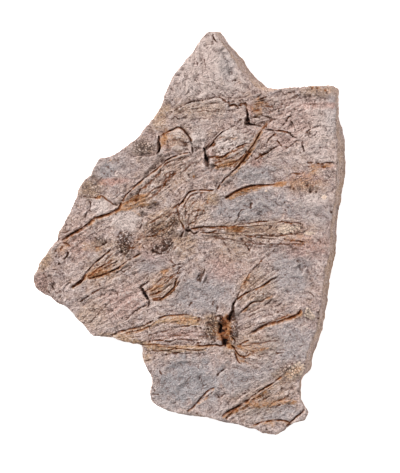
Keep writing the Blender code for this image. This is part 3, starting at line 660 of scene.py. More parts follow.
    ],
    "east_crown": [
        ("cleft", [(185, 228), (188, 231), (190, 230), (194, 234), (198, 232)]),
        ("arm", [(190, 229), (195, 228), (203, 227), (212, 227), (222, 226.5), (230, 227), (236, 225)]),
        ("thread", [(236, 225), (243, 224), (250, 223), (258, 222), (268, 221)]),
        ("thread", [(275, 224), (281, 222), (288, 223), (298, 223), (302, 224)]),
        ("arm", [(201, 231), (207, 233), (217, 231), (224, 230)]),
        ("rust", [(228, 230), (234, 230), (240, 228)]),
        ("thread", [(234, 234), (240, 233)]),
        ("thread", [(243, 234), (248, 237), (254, 236), (260, 235), (268, 236), (276, 236), (285, 235),
                    (293, 234), (300, 234)]),
        ("hair", [(270, 244), (273, 247)]),
        ("thread", [(288, 241), (298, 241), (306, 242), (311, 240)]),
        ("hair", [(287, 247), (293, 248), (300, 249)]),
        ("hair", [(223, 240), (226, 245), (229, 250), (231, 255)]),
        ("hair", [(243, 242), (247, 247), (250, 252)]),
    ],
    "notch_crown": [
        ("cleft", [(149, 281), (145, 284), (140, 287), (142, 291), (145, 294), (148, 299), (150, 302),
                   (149, 305), (148, 308)]),
        ("thread", [(143, 292), (150, 289), (156, 284), (162, 279), (170, 276)]),
        ("rust", [(146, 292), (152, 290), (158, 287), (163, 283)]),
        ("thread", [(147, 296), (155, 294), (162, 290)]),
        ("thread", [(150, 300), (156, 298), (163, 298)]),
        ("arm", [(152, 301), (160, 300), (166, 295), (170, 291), (174, 287), (175, 283), (178, 278)]),
        ("arm", [(161, 272), (167, 270), (171, 267), (177, 265), (182, 264)]),
        ("thread", [(175, 271), (180, 268), (184, 266)]),
        ("thread", [(148, 305), (140, 308), (134, 312), (129, 317), (124, 321)]),
        ("seam", [(196, 280), (198, 277), (201, 273), (204, 269)]),
        ("hair", [(188, 306), (192, 301)]),
        ("hair", [(212, 303), (214, 300)]),
    ],
    "knot": [
        ("cleft", [(235.6, 300.4), (233.6, 303.2), (232.8, 306), (233.4, 309.6), (231.4, 313.6),
                   (229.4, 317.4),
                   (229.6, 321)]),
        ("scratch", [(235.6, 307.6), (234.2, 310.6), (235.2, 315), (233, 318.6)]),
        ("scratch", [(227.2, 316), (228, 319), (226, 320.6)]),
        ("scratch", [(216.3, 319.8), (216, 317.4), (218, 315.6), (222.3, 315.8), (223.6, 318.6)]),
        ("scratch", [(210, 317), (212.6, 319.4), (215.2, 319)]),
        ("scratch", [(218, 319.8), (221, 319.4), (223.6, 320.6), (226, 321.4)]),
        ("scratch", [(221, 322.9), (223.4, 322), (225, 323.4)]),
        ("scratch", [(218.8, 323.4), (220.4, 327), (219.6, 330.6), (221, 332.4), (224.4, 330.4),
                     (227, 327.8)]),
        ("scratch", [(210.4, 336.2), (213.4, 335.4), (216.8, 335.4)]),
        ("scratch", [(211.8, 336.8), (212.6, 339.4)]),
        ("scratch", [(214.2, 339), (216.4, 341.8)]),
        ("scratch", [(207, 328.6), (210, 329.4)]),
        ("thread", [(212.6, 329.6), (214, 328.4), (216, 328.4)]),
        ("thread", [(207, 322), (209, 324), (212, 325.6)]),
        ("thread", [(207, 333), (208, 336), (207, 339)]),
        ("arm", [(196, 345.6), (203, 346), (209, 345.2), (213.6, 345.4), (217, 344.6), (220, 346),
                 (223.4, 345.4),
                 (227, 343.4), (231, 343.7)]),
        ("scratch", [(232, 324.5), (235.8, 324.4)]),
        ("scratch", [(232, 321.8), (234, 319.8), (236.6, 317.8)]),
        ("thread", [(229.6, 327.2), (231.4, 328.6), (233.4, 328.6)]),
        ("scratch", [(241.4, 332.6), (240.4, 334.6), (238, 336.8), (236, 337.4), (233.4, 335.4)]),
        ("arm", [(230.6, 335.8), (233.4, 337.6), (235.2, 340), (235.8, 343)]),
        ("scratch", [(231.8, 340.8), (233.2, 342.8)]),
        ("scratch", [(222.4, 334.4), (222, 337), (224.2, 338.2)]),
        ("scratch", [(226.2, 336.8), (227.6, 335)]),
        ("scratch", [(228.2, 341), (228.8, 339)]),
        ("arm", [(231, 344.4), (232.6, 346), (234.6, 348.7), (236.4, 351.9), (239.5, 355.4), (244.6, 356.6),
                 (247.8, 355.4), (251, 352.8)]),
        ("arm", [(234.4, 351.2), (237, 357.6), (238.9, 361.4), (241.5, 364)]),
        ("thread", [(231, 345), (236, 348), (240, 350)]),
        ("rust", [(235.7, 345), (240, 346), (244.6, 348.7)]),
        ("rust", [(237, 357), (245, 362), (252, 365), (262, 369)]),
        ("hair", [(213, 306), (215, 302), (219, 300)]),
    ],
    "knot_arms": [
        ("arm", [(236, 300), (240, 297), (246, 293), (252, 291), (258, 288), (264, 285), (271, 280),
                 (278, 277)]),
        ("thread", [(236, 300), (240, 291), (242, 285), (246, 280), (250, 274), (255, 268), (260, 262),
                 (266, 254)]),
        ("thread", [(256, 295), (260, 291), (263, 289)]),
        ("thread", [(264, 291), (263, 297), (263, 300)]),
        ("thread", [(263, 300), (266, 298), (271, 297)]),
        ("hair", [(256, 278), (254, 286)]),
        ("arm", [(237.6, 316), (241.5, 311.7), (247.2, 307), (251, 303.4), (255.5, 301.5), (261.2, 300.8),
                 (264.4, 299)]),
        ("rust", [(264.4, 299), (270.2, 296.4), (276.5, 292.6)]),
        ("thread", [(258, 354), (258, 357)]),
        ("column", [(250, 333), (256, 330), (262, 327), (268, 324), (275, 322), (283, 320), (290, 317),
                    (297, 315), (300, 311), (302, 309)]),
        ("arm", [(240, 345), (244, 342), (250, 340)]),
        ("thread", [(251, 355), (256, 352), (258, 351)]),
        ("rust", [(250, 353), (260, 349), (270, 347)]),
        ("thread", [(275, 352), (280, 353), (285, 352)]),
        ("hair", [(286, 338), (291, 333)]),
    ],
    "west_band": [
        ("arm", [(108, 336.4), (114, 334.6), (120, 331.4), (128, 329.6), (134, 328.6), (140, 327)]),
        ("thread", [(140, 327), (148, 323.4), (155, 319.6)]),
        ("arm", [(158, 317.8), (166, 316), (175, 315), (185, 314.4), (190, 315)]),
        ("thread", [(118, 335.6), (128, 333), (138, 330.4), (148, 326.6), (157, 322.4)]),
        ("thread", [(180, 327), (186, 326), (192, 326)]),
        ("thread", [(130, 338), (138, 337), (145, 336), (152, 335), (160, 332), (168, 331)]),
        ("thread", [(148, 342), (153, 340.6), (160, 340.5), (170, 341), (180, 339.5), (190, 340),
                    (200, 340)]),
        ("thread", [(195, 345), (200, 343), (203, 341)]),
        ("rust", [(143, 344), (152, 344), (162, 345)]),
        ("thread", [(150, 350), (160, 351), (170, 350), (180, 348.6), (190, 350), (200, 350.4),
                    (206, 349)]),
        ("arm", [(204, 347), (210, 345.4), (216, 345)]),
        ("thread", [(160, 356), (170, 354), (180, 352)]),
        ("hair", [(116, 338), (122, 338)]),
        ("seam", [(144, 361), (150, 360)]),
    ],
    "south": [
        ("scratch", [(217.3, 375.8), (219, 374), (221, 372)]),
        ("seam", [(220, 373), (223.5, 369.7), (226, 368)]),
        ("seam", [(233.7, 367.7), (237, 368), (239.8, 369.7)]),
        ("seam", [(235.7, 387.6), (239.8, 385.5)]),
        ("arm", [(186.7, 412), (191, 408.6), (194.9, 404.9), (201, 397.8), (207.1, 391.6), (211, 389),
                 (215.3, 387.6)]),
        ("rust", [(197, 404), (203, 399.6), (207, 397.8), (212, 397)]),
        ("thread", [(193.9, 416), (197, 413.6), (200, 412)]),
        ("fold", [(166, 372), (178, 366), (190, 364)]),
        ("fold", [(170, 398), (182, 388), (192, 382)]),
        ("dent", [(196, 376), (206, 384), (210, 376)]),
        ("fold", [(232, 374), (244, 380), (256, 378)]),
        ("fold", [(236, 416), (250, 414), (262, 410)]),
        ("hair", [(215, 414), (218, 409), (220, 405), (223, 402)]),
        ("hair", [(150, 385), (154, 389), (156, 393)]),
        ("hair", [(150, 394), (160, 395)]),
        ("seam", [(241.8, 393.7), (246.9, 392.7), (249.5, 387.6)]),
        ("column", [(221.4, 417.1), (229.6, 411), (238.8, 405.9), (245.9, 401.8), (249, 399.6)]),
        ("arm", [(246, 401.8), (252, 396.7), (258, 391.6), (264, 388), (270.4, 384.5), (279.6, 377.3),
                 (283, 376.6)]),
        ("orange", [(250, 400.8), (258.2, 394.7), (268.4, 388.6), (274.5, 384.5)]),
        ("orange", [(224, 416.4), (232, 411.8), (241, 406.8), (250, 402)]),
        ("thread", [(205, 398), (210, 394), (214, 391)]),
        ("arm", [(225.5, 419.2), (231.6, 413.1), (238, 408)]),
        ("thread", [(250, 400), (256, 398), (262, 394)]),
        ("thread", [(290, 372), (291, 370), (296, 368)]),
        ("orange", [(249, 403.9), (260.2, 404.9), (272.4, 403.9), (282.7, 401.8), (292.9, 400.8),
                    (297, 399.6)]),
        ("thread", [(272.4, 402.3), (281.6, 399.3), (286, 396), (290.8, 391.6)]),
        ("thread", [(275, 406), (280, 404)]),
        ("arm", [(251, 426), (256, 424), (262, 422), (268, 421), (275, 420), (282, 420), (290, 422)]),
        ("arm", [(285, 428), (290, 422), (294, 418), (299, 414), (303, 410), (303, 407)]),
        ("thread", [(267, 428), (266, 424)]),
        ("thread", [(271, 424), (272, 420)]),
    ],
}

# Sheaves of arms: each fills the room between two lines with a number of finer ones of a kind.
SHEAVES = {
    "west_crown_hairs": ("hair", 5, [(128, 195), (145, 182), (163, 168), (186, 155)],
                         [(132, 206), (155, 198), (176, 184), (200, 168)]),
    "north_lens": ("hair", 6, [(208, 148), (219, 137), (236, 130), (254, 133)],
                   [(212, 164), (228, 160), (243, 150), (255, 141)]),
    "little_lens": ("hair", 5, [(162, 137), (172, 132), (181, 130), (188, 140)],
                    [(160, 150), (171, 150), (181, 150), (191, 152)]),
    "slanting_column": ("hair", 3, [(260, 131), (251, 146), (240, 160), (230, 169)],
                        [(266, 133), (257, 148), (246, 163), (235, 175)]),
    "heart_crown": ("thread", 5, [(188, 196), (181, 208), (182, 222), (186, 229)],
                    [(213, 196), (206, 208), (200, 218), (192, 227)]),
    "east_crown": ("hair", 6, [(192, 228), (222, 226), (262, 221), (304, 222)],
                   [(196, 236), (222, 240), (262, 250), (306, 252)]),
    "tip_crown": ("thread", 5, [(86, 277), (100, 262), (118, 246)],
                  [(88, 279), (115, 274), (142, 262)]),
    "tip_fan": ("hair", 5, [(86, 281), (112, 277), (140, 268)], [(92, 332), (116, 318), (142, 300)]),
    "west_root": ("hair", 5, [(57, 242), (76, 228), (97, 212)], [(55, 258), (72, 244), (104, 221)]),
    "notch_crown": ("thread", 5, [(144, 289), (158, 277), (172, 266), (186, 263)],
                    [(151, 302), (163, 300), (174, 290), (183, 276)]),
    "west_band": ("hair", 4, [(112, 336), (148, 325), (182, 315), (216, 317)],
                  [(143, 346), (170, 351), (198, 351), (224, 345)]),
    "west_band_hairs": ("hair", 5, [(122, 333), (152, 323), (186, 317), (214, 321)],
                        [(143, 350), (170, 356), (198, 355), (222, 350)]),
    "knot_north": ("hair", 4, [(236, 302), (243, 284), (254, 268), (266, 252)],
                   [(239, 303), (254, 291), (270, 281), (285, 268)]),
    "knot_east": ("thread", 4, [(239, 316), (252, 304), (268, 296), (284, 286)],
                  [(242, 334), (262, 327), (284, 319), (303, 309)]),
    "knot_south_east": ("hair", 4, [(236, 340), (252, 337), (270, 334), (288, 330)],
                        [(236, 352), (248, 362), (266, 366), (284, 362)]),
    "south_arms": ("hair", 4, [(222, 416), (240, 404), (260, 388), (282, 375)],
                   [(232, 421), (252, 409), (276, 402), (297, 392)]),
    "north_east": ("hair", 7, [(258, 100), (272, 96), (290, 92)], [(262, 128), (284, 120), (304, 108)]),
    "centre": ("hair", 6, [(134, 238), (150, 226), (166, 212), (182, 198)],
               [(140, 252), (160, 238), (172, 226), (182, 212)]),
}

# Beds of fine arms, too many to draw one by one: how many lie side by side between two lines, and how
# strongly they show. The gaps between them are carved, and they swell between the gaps. Some fill the room
# of a sheaf.
COMBED = [
    (12, 1.0, [(121, 201), (133, 187), (149, 176), (165, 162), (192, 151)],
     [(122, 208), (146, 203), (165, 192), (182, 178), (203, 164)]),
    (10, 0.9, [(208, 148), (219, 137), (236, 130), (254, 133)],
     [(212, 166), (228, 163), (243, 153), (257, 141)]),
    (8, 0.7, *SHEAVES["little_lens"][2:]),
    (9, 0.9, *SHEAVES["heart_crown"][2:]),
    (14, 0.7, *SHEAVES["east_crown"][2:]),
    (8, 0.8, *SHEAVES["tip_crown"][2:]),
    (24, 0.4, [(86, 281), (112, 277), (140, 268)], [(92, 334), (116, 322), (142, 306)]),
    (15, 0.45, [(108, 337), (148, 325), (182, 314), (216, 317)],
     [(143, 352), (170, 357), (198, 356), (222, 350)]),
    (12, 0.45, [(236, 302), (243, 284), (254, 268), (266, 252)],
     [(239, 316), (258, 300), (278, 290), (296, 280)]),
    (7, 0.3, [(240, 320), (262, 306), (284, 300), (310, 296)],
     [(242, 340), (262, 335), (284, 328), (303, 318)]),
    (11, 0.5, *SHEAVES["knot_south_east"][2:]),
    (13, 0.8, [(222, 416), (240, 404), (260, 388), (282, 375)],
     [(244, 425), (264, 414), (282, 408), (300, 398)]),
    (8, 0.7, [(168, 117), (190, 104), (222, 98), (246, 99)],
     [(172, 125), (196, 117), (222, 113), (240, 110)]),
    (12, 0.8, [(250, 108), (268, 98), (296, 92)], [(252, 126), (282, 122), (306, 112)]),
    (10, 0.6, [(264, 131), (290, 126), (320, 112)], [(256, 152), (282, 146), (318, 138)]),
    (14, 0.8, [(134, 240), (150, 226), (166, 212), (182, 196)],
     [(140, 256), (160, 242), (174, 230), (184, 216)]),
    (10, 0.7, [(57, 240), (76, 226), (97, 210)], [(55, 260), (76, 248), (110, 222)]),
    (8, 0.9, *SHEAVES["notch_crown"][2:]),
    (6, 0.8, [(166, 254), (176, 243), (190, 236)], [(172, 262), (186, 256), (198, 250)]),
]

# Which way the stone's fabric runs away from the fossils: place on the chart and direction, in degrees
# anticlockwise from +X.
FABRIC = [
    (207, 45, 88), (186, 80, 62), (208, 80, 80), (232, 80, 98), (250, 95, 70), (290, 100, 8), (322, 100, 4),
    (300, 130, 42), (325, 140, 60), (325, 165, 4), (262, 175, 12), (300, 165, 12), (262, 205, 8),
    (310, 215, 0),
    (300, 265, 8), (310, 295, 15), (250, 265, 30), (215, 280, 42), (195, 290, 48), (300, 340, 30),
    (275, 350, 24),
    (190, 370, 32), (170, 395, 28), (215, 395, 34), (250, 375, 30), (285, 415, 22), (110, 300, 40),
    (80, 305, 48),
    (60, 275, 30), (45, 280, 60), (95, 175, 24), (115, 165, 30), (140, 140, 35), (150, 170, 38),
    (75, 205, 40),
    (130, 215, 40), (60, 240, 48), (150, 262, 38), (170, 190, 38), (230, 180, 30), (290, 385, 50),
    (240, 300, 40),
]

# Patches of colour: channel, middle on the chart, half width and half length (in mm), turn (in degrees,
# anticlockwise) and strength.
PATCHES = [
    # The first blue patch is painted shadow along the shallow furrow in the peak.
    ("blue", 227.5, 66, 4, 8, 12, 0.9),
    ("pink", 203, 62, 7, 11, 0, 0.31),
    ("pale", 206, 62, 20, 24, 0, 0.6),
    ("pale", 300, 128, 20, 16, 0, 0.3),
    ("pale", 324, 140, 7, 24, 0, 0.35),
    ("pale", 150, 182, 10, 6, 30, 0.3),
    ("pale", 233, 145, 10, 8, 20, 0.95),
    ("pale", 198, 140, 4.4, 5.4, 0, 0.85),
    ("blue", 198, 141, 4, 5, 0, 0.35),
    ("pale", 318, 200, 9, 5, 0, 0.3),
    ("pale", 118, 210, 10, 5, 20, 0.3),
    ("pale", 135, 215, 6, 4, 20, 0.3),
    ("ochre", 200, 108, 17, 4.5, 5, 0.5),
    ("ochre", 160, 117, 4, 8, -30, 0.6),
    ("crust", 158, 124, 3.5, 1.0, 10, 0.4),
    ("pink", 250, 112, 1.8, 5, 0, 0.95),
    ("rust", 257, 107, 5, 4.5, 0, 0.35),
    ("dark", 243, 104, 3.0, 1.6, 0, 0.2),
    ("dark", 247, 122, 1.6, 2.6, 0, 0.6),
    ("pink", 288, 124, 17, 11, 20, 0.62),
    ("ochre", 318, 92, 11, 3, 0, 0.5),
    ("rust", 320, 90, 6, 1.4, 0, 0.35),
    ("pink", 314, 106, 12, 2, 3, 0.62),
    ("blue", 331, 112, 4, 10, 0, 0.72),
    ("crust", 318, 147, 10, 7, 0, 0.2),
    ("rust", 230, 163, 9, 2.8, 8, 0.25),
    ("ochre", 235, 152, 9, 8, 20, 0.2),
    # The next two dark patches are painted shadow in the cleft at the lens's rim.
    ("dark", 207, 160, 1.6, 4.4, 0, 0.6),
    ("dark", 207, 148, 2.0, 1.6, 0, 0.4),
    ("pink", 212, 152, 2.4, 2.4, 0, 0.88),
    ("rust", 252, 146.5, 16, 1.4, 59, 0.45),
    ("blue", 255, 175, 12, 6, 8, 0.72),
    ("blue", 250, 207, 22, 9, 4, 0.72),
    ("blue", 312, 212, 12, 8, 0, 0.48),
    ("pink", 256, 161, 3.8, 3.4, 0, 0.75),
    ("rust", 281, 184, 3.4, 1.4, 12, 0.6),
    ("rust", 244, 192, 10, 1.8, 16, 0.35),
    ("pink", 322, 167, 8, 1.8, 3, 0.95),
    ("rust", 320, 166, 8, 1.4, 3, 0.3),
    ("pink", 318, 105.6, 11, 1.2, 2, 0.95),
    ("pink", 332, 106, 1.4, 1.6, 0, 0.95),
    ("pale", 126, 221, 8.4, 5, -8, 0.95),
    ("pale", 101, 206, 4.5, 4, 0, 0.7),
    ("pale", 95, 206, 4, 4, 0, 0.4),
    ("pink", 286, 142, 6, 3.4, 25, 0.75),
    ("ochre", 314, 171, 4, 2, 0, 0.5),
    ("pink", 308, 181, 11, 5, 2, 0.62),
    ("ochre", 308, 186, 10, 4, 2, 0.5),
    ("rust", 304, 181, 11, 4.4, 4, 0.32),
    ("crust", 324, 197, 1.6, 1.6, 0, 0.5),
    ("pale", 315, 199, 6, 2.4, -12, 0.5),
    ("pink", 167, 140, 4, 6, -20, 0.62),
    ("rust", 163, 137, 2, 4.4, -20, 0.35),
    ("ochre", 176, 137, 8, 7, 0, 0.45),
    # Painted shadow beside the rough block.
    ("dark", 158, 145, 1.0, 3.6, 0, 0.5),
    ("ochre", 142, 147, 6, 5, 0, 0.35),
    ("blue", 106, 171, 5, 6, 0, 0.72),
    ("blue", 121, 165, 7, 5, 0, 0.36),
    ("pink", 112, 181.5, 9, 2.0, 4, 0.95),
    ("ochre", 136, 202, 10, 4, 10, 0.6),
    ("rust", 139, 199, 6, 2.4, 16, 0.4),
    ("ochre", 90, 189, 6, 5, 20, 0.6),
    ("rust", 100, 197, 4, 1.2, -6, 0.2),
    ("ochre", 165, 178, 15, 8, 30, 0.3),
    ("rust", 62, 249, 3, 4, -30, 0.35),
    ("ochre", 43, 261, 3.4, 6, -30, 0.7),
    ("pink", 42, 284, 5, 6, 0, 0.56),
    ("pink", 78, 243, 9, 8, 20, 0.5),
    ("ochre", 100, 245, 10, 3, 6, 0.45),
    ("rust", 100, 273, 7, 2.6, 14, 0.45),
    ("ochre", 106, 268, 12, 7, 26, 0.45),
    ("pink", 118, 303, 13, 7, 18, 0.7),
    ("pale", 106, 306, 14, 9, 30, 0.2),
    ("ochre", 92, 315, 9, 7, 40, 0.45),
    ("ochre", 164, 221, 9, 6, 10, 0.5),
    ("ochre", 184, 245, 7, 6, 30, 0.5),
    ("ochre", 124, 250, 3, 3, 0, 0.5),
    ("dark", 124.5, 243, 3.8, 6.0, 0, 0.12),
    ("crust", 124.5, 246, 4.0, 5.0, 0, 0.3),
    ("dark", 165, 246, 3.0, 2.8, 0, 0.16),
    ("rust", 137, 248, 3, 3, 0, 0.2),
    ("ochre", 212, 198, 4, 3.6, 0, 0.7),
    ("ochre", 196, 212, 7, 8, 0, 0.4),
    ("dark", 187, 230, 2.4, 1.4, 0, 0.25),
    ("rust", 158, 238, 13, 9, 14, 0.1),
    ("pink", 150, 248, 11, 8, 10, 0.45),
    ("ochre", 160, 232, 14, 9, 14, 0.35),
    ("pink", 195, 229, 3.4, 1.2, 0, 0.75),
    ("rust", 236, 228.6, 4, 1.6, 0, 0.7),
    ("ochre", 262, 230, 26, 5, 2, 0.5),
    ("pink", 292, 229, 10, 4, 2, 0.5),
    ("blue", 254, 226, 3, 2, 0, 0.48),
    ("crust", 287, 229, 6.2, 2.6, 3, 0.85),
    ("crust", 309, 233.4, 4.0, 1.0, 0, 0.8),
    ("pink", 305, 246, 13, 6, 3, 0.62),
    ("rust", 300, 240, 10, 3, 3, 0.3),
    ("pink", 224, 268, 9, 7, 0, 0.5),
    ("ochre", 235, 250, 9, 8, 0, 0.3),
    ("rust", 165, 272, 3.4, 1.8, 15, 0.5),
    ("ochre", 163, 286, 8, 7, 20, 0.45),
    ("rust", 247, 281, 2.4, 5, -35, 0.35),
    ("ochre", 256, 288, 9, 10, -30, 0.4),
    ("rust", 225, 330, 4.6, 7.8, 0, 0.75),
    ("dark", 224, 330, 3.4, 7.6, 0, 0.34),
    ("ochre", 213, 331, 3.4, 5, 0, 0.7),
    ("rust", 251, 347, 8, 4, 0, 0.15),
    ("ochre", 252, 345, 14, 8, 0, 0.4),
    ("rust", 288, 317, 9, 2.2, 14, 0.35),
    ("crust", 308, 313, 2.6, 2.8, 0, 0.62),
    ("crust", 312, 316, 2.0, 2.0, 0, 0.8),
    ("rust", 182, 320.6, 9, 2.4, 2, 0.4),
    ("ochre", 210, 322, 5, 4, 0, 0.7),
    ("ochre", 122, 338, 7, 2.0, 0, 0.8),
    ("rust", 176, 347, 14, 1.2, 1, 0.3),
    ("rust", 132, 333, 9, 1.0, 14, 0.3),
    ("pink", 178, 335, 15, 3.0, 2, 0.62),
    ("ochre", 104, 335, 5, 1.6, 0, 0.6),
    ("ochre", 147, 358, 2.4, 3, 0, 0.6),
    ("crust", 296, 371, 8, 4, 24, 0.62),
    ("ochre", 290, 373, 9, 5, 20, 0.5),
    ("crust", 301.5, 375, 1.0, 2.0, 0, 0.9),
    ("ochre", 262, 400, 16, 8, 20, 0.35),
    ("rust", 276, 402, 12, 1.8, 4, 0.35),
    ("rust", 272, 423, 10, 2.4, 0, 0.3),
    ("blue", 190, 380, 20, 13, 0, 0.9),
    ("blue", 236, 378, 9, 8, 0, 0.48),
    ("blue", 290, 270, 12, 14, 0, 0.66),
    ("blue", 204, 292, 18, 12, 10, 0.7),
    ("blue", 150, 262, 7, 6, 10, 0.6),
    ("pink", 250, 130, 5, 3, 0, 0.38),
    ("blue", 286, 344, 15, 11, 10, 0.7),
    ("blue", 256, 378, 14, 7, 20, 0.5),
    ("blue", 268, 412, 17, 6, 0, 0.7),
    ("blue", 214, 408, 12, 6, 0, 0.4),
    ("blue", 166, 398, 9, 8, 0, 0.5),
    ("rust", 293, 372, 7, 2.4, 26, 0.4),
]


# ---------------------------------------------------------------- chart and plane geometry


def on_face(points):
    """Chart points as metres in X and Y."""
    points = np.asarray(points, float)
    across = (points[:, 0] - CHART_CENTRE[0]) * CHART_UNIT_X
    up = (CHART_CENTRE[1] - points[:, 1]) * CHART_UNIT_Y
    return np.column_stack([across, up])


def resampled(line, at):
    """The points of a line at places counted along its own points."""
    return np.column_stack([np.interp(at, np.arange(len(line)), line[:, axis]) for axis in (0, 1)])


def length_of(line):
    return np.hypot(*np.diff(line, axis=0).T).sum()


def walked(line, step, closed=False):
    """Points about a step apart along a line, and how far along the line's own points each lies."""
    corners = np.vstack([line, line[:1]]) if closed else line
    lengths = np.hypot(*np.diff(corners, axis=0).T)
    along = np.concatenate([[0], np.cumsum(lengths)])
    count = max(2, round(along[-1] / step) + (not closed))
    at = np.linspace(0, along[-1], count, endpoint=not closed)
    points = np.column_stack([np.interp(at, along, corners[:, axis]) for axis in (0, 1)])
    return points, np.interp(at, along, np.arange(len(corners)))


def curved(line, subdivisions=6):
    """A smooth curve through a line's points (Catmull-Rom)."""
    ends = np.vstack([2 * line[0] - line[1], line, 2 * line[-1] - line[-2]])
    t = np.linspace(0, 1, subdivisions, endpoint=False)[:, None]
    runs = []
    for a, b, c, d in zip(ends, ends[1:], ends[2:], ends[3:]):
        runs.append(b + 0.5 * t * (c - a + t * (2 * a - 5 * b + 4 * c - d + t * (3 * (b - c) + d - a))))
    return np.vstack([*runs, line[-1:]])


def evened(ring, own, rounds):
    """A closed ring whose points are drawn towards their neighbours; own is the weight each point keeps."""
    for _ in range(rounds):
        ring = (np.roll(ring, 1, axis=0) + own * ring + np.roll(ring, -1, axis=0)) / (own + 2)
    return ring


def outward(ring):
    """The directions out of an anticlockwise ring, evened out so that offsets stay clean."""
    along = np.roll(ring, -1, axis=0) - np.roll(ring, 1, axis=0)
    out = evened(np.column_stack([along[:, 1], -along[:, 0]]), 2, 3)
    return out / np.linalg.norm(out, axis=1, keepdims=True)


def beside(line, reach):
    """A line moved to its left by reach (to its right if negative)."""
    ahead = np.gradient(line, axis=0)
    left = np.column_stack([-ahead[:, 1], ahead[:, 0]]) / np.hypot(*ahead.T)[:, None]
    return line + left * reach


def measured(line, points):
    """For each point: how far left of a line it lies (right is negative), how far along, the way left."""
    best = np.full(len(points), np.inf)
    side = np.ones(len(points))
    along = np.zeros(len(points))
    left = np.zeros((len(points), 2))
    passed = 0.0
    for start, end in zip(line, line[1:]):
        run = end - start
        share = np.clip((points - start) @ run / (run @ run), 0, 1)
        off = points - start - share[:, None] * run
        distance = np.hypot(*off.T)
        nearer = distance < best
        side = np.where(nearer, np.sign(run[0] * off[:, 1] - run[1] * off[:, 0]), side)
        along = np.where(nearer, passed + share * np.hypot(*run), along)
        left[nearer] = (-run[1], run[0]) / np.hypot(*run)
        best = np.minimum(best, distance)
        passed += np.hypot(*run)
    return best * side, along, left


def inside(points, ring):
    """Whether each point lies inside a ring."""
    result = np.zeros(len(points), bool)
    for (x1, y1), (x2, y2) in zip(ring, np.roll(ring, -1, axis=0)):
        crosses = (y1 > points[:, 1]) != (y2 > points[:, 1])
        with np.errstate(divide="ignore", invalid="ignore"):
            meets = x1 + (points[:, 1] - y1) * (x2 - x1) / (y2 - y1)
        result ^= crosses & (points[:, 0] < meets)
    return result


def staggered(ring, step):
    """Points in staggered rows, about a step apart, over the box round a ring."""
    low, high = ring.min(axis=0), ring.max(axis=0)
    across = np.arange(low[0], high[0], step)
    rows = np.arange(low[1], high[1], step * math.sqrt(3) / 2)
    return np.array([(x + step / 2 * (j % 2), y) for j, y in enumerate(rows) for x in across])


def thinned(points, clearance, kept=()):
    """The points, in their order, that keep clear of each other and of those kept before them."""
    cells = {}
    for x, y in kept:
        cells.setdefault((int(x // clearance), int(y // clearance)), []).append((x, y))
    found = []
    limit = clearance * clearance
    around = [(a, b) for a in (-1, 0, 1) for b in (-1, 0, 1)]
    for x, y in points:
        i, j = int(x // clearance), int(y // clearance)
        near = (other for a, b in around for other in cells.get((i + a, j + b), ()))
        if all((x - u) ** 2 + (y - v) ** 2 >= limit for u, v in near):
            cells.setdefault((i, j), []).append((x, y))
            found.append((x, y))
    return found


# ---------------------------------------------------------------- noise and smoothing


def ripple(points, length, seed, octaves=1):
    """Smooth noise at points of the plane or of space, mostly from -1 to 1, with bumps of a given length.

    The seed only makes one ripple differ from the next.
    """
    scaled = np.asarray(points) / length
    if scaled.shape[1] == 2:
        scaled = np.column_stack([scaled, np.full(len(scaled), seed)])
    else:
        scaled = scaled + (0, 0, seed)
    if octaves == 1:
        return np.array([noise.noise(Vector(p)) for p in scaled.tolist()]) * 1.6
    return np.array([noise.fractal(Vector(p), 0.8, 2.1, octaves) for p in scaled.tolist()])


def drawn_out(points, ways, length, reach, seed):
    """Ripples drawn out along the way of the fabric at each point."""
    steps = np.linspace(-0.5, 0.5, 7) * reach
    return sum(ripple(points + ways * step, length, seed) for step in steps) / 3.2


def smooth(x, low, high):
    """0 below low, 1 above high, and an even S between them."""
    t = np.clip((x - low) / (high - low), 0, 1)
    return t * t * (3 - 2 * t)


def hump(x, middle, width):
    """1 at a middle, falling away evenly to both sides."""
    return np.exp(-(((x - middle) / width) ** 2))


def plateau(distance):
    """1 over the middle, falling away rather sharply at a distance of 1."""
    return np.exp(-(distance**4))


def blurred(cells, reach, width):
    """The values of a grid, each spread over the cells up to a reach away."""
    spread = np.exp(-(np.arange(-reach, reach + 1) / width) ** 2)
    for axis in (0, 1):
        cells = np.apply_along_axis(np.convolve, axis, cells, spread, "same")
    return cells


# ---------------------------------------------------------------- the lines of the fossils


def natural(line, rng):
    """A line's curve with the small wander of something that grew and was pressed flat."""
    curve, _ = walked(curved(on_face(line)), 0.6 * MM)
    seed = rng.uniform(0, 100)
    wander = (0.16 * ripple(curve, 4.5 * MM, seed) + 0.12 * ripple(curve, 1.8 * MM, seed + 5)) * MM
    return beside(curve, wander[:, None]) if len(curve) > 2 else curve


def guides(first, last, steps):
    """Two lines of the chart as smooth curves with a given number of points each."""
    curves = [curved(on_face(line)) for line in (first, last)]
    return [resampled(curve, np.linspace(0, len(curve) - 1, steps)) for curve in curves]


def sheaf(first, last, count, rng):
    """Lines that fill the room between two lines, bunching and parting a little, most a bit shorter."""
    steps = 14
    edges = guides(first, last, steps)
    lines = []
    for k in range(count):
        share = (k + 0.5 + rng.uniform(-0.3, 0.3)) / count
        wave = np.sin(np.linspace(0, rng.uniform(2, 6), steps) + rng.uniform(0, 6)) * 0.35 / count
        shares = np.clip(share + wave, 0.02, 0.98)[:, None]
        line = edges[0] * (1 - shares) + edges[1] * shares
        start = int(rng.integers(0, 4))
        end = steps - int(rng.integers(0, 5))
        lines.append(curved(line[start:end], 3))
    return lines


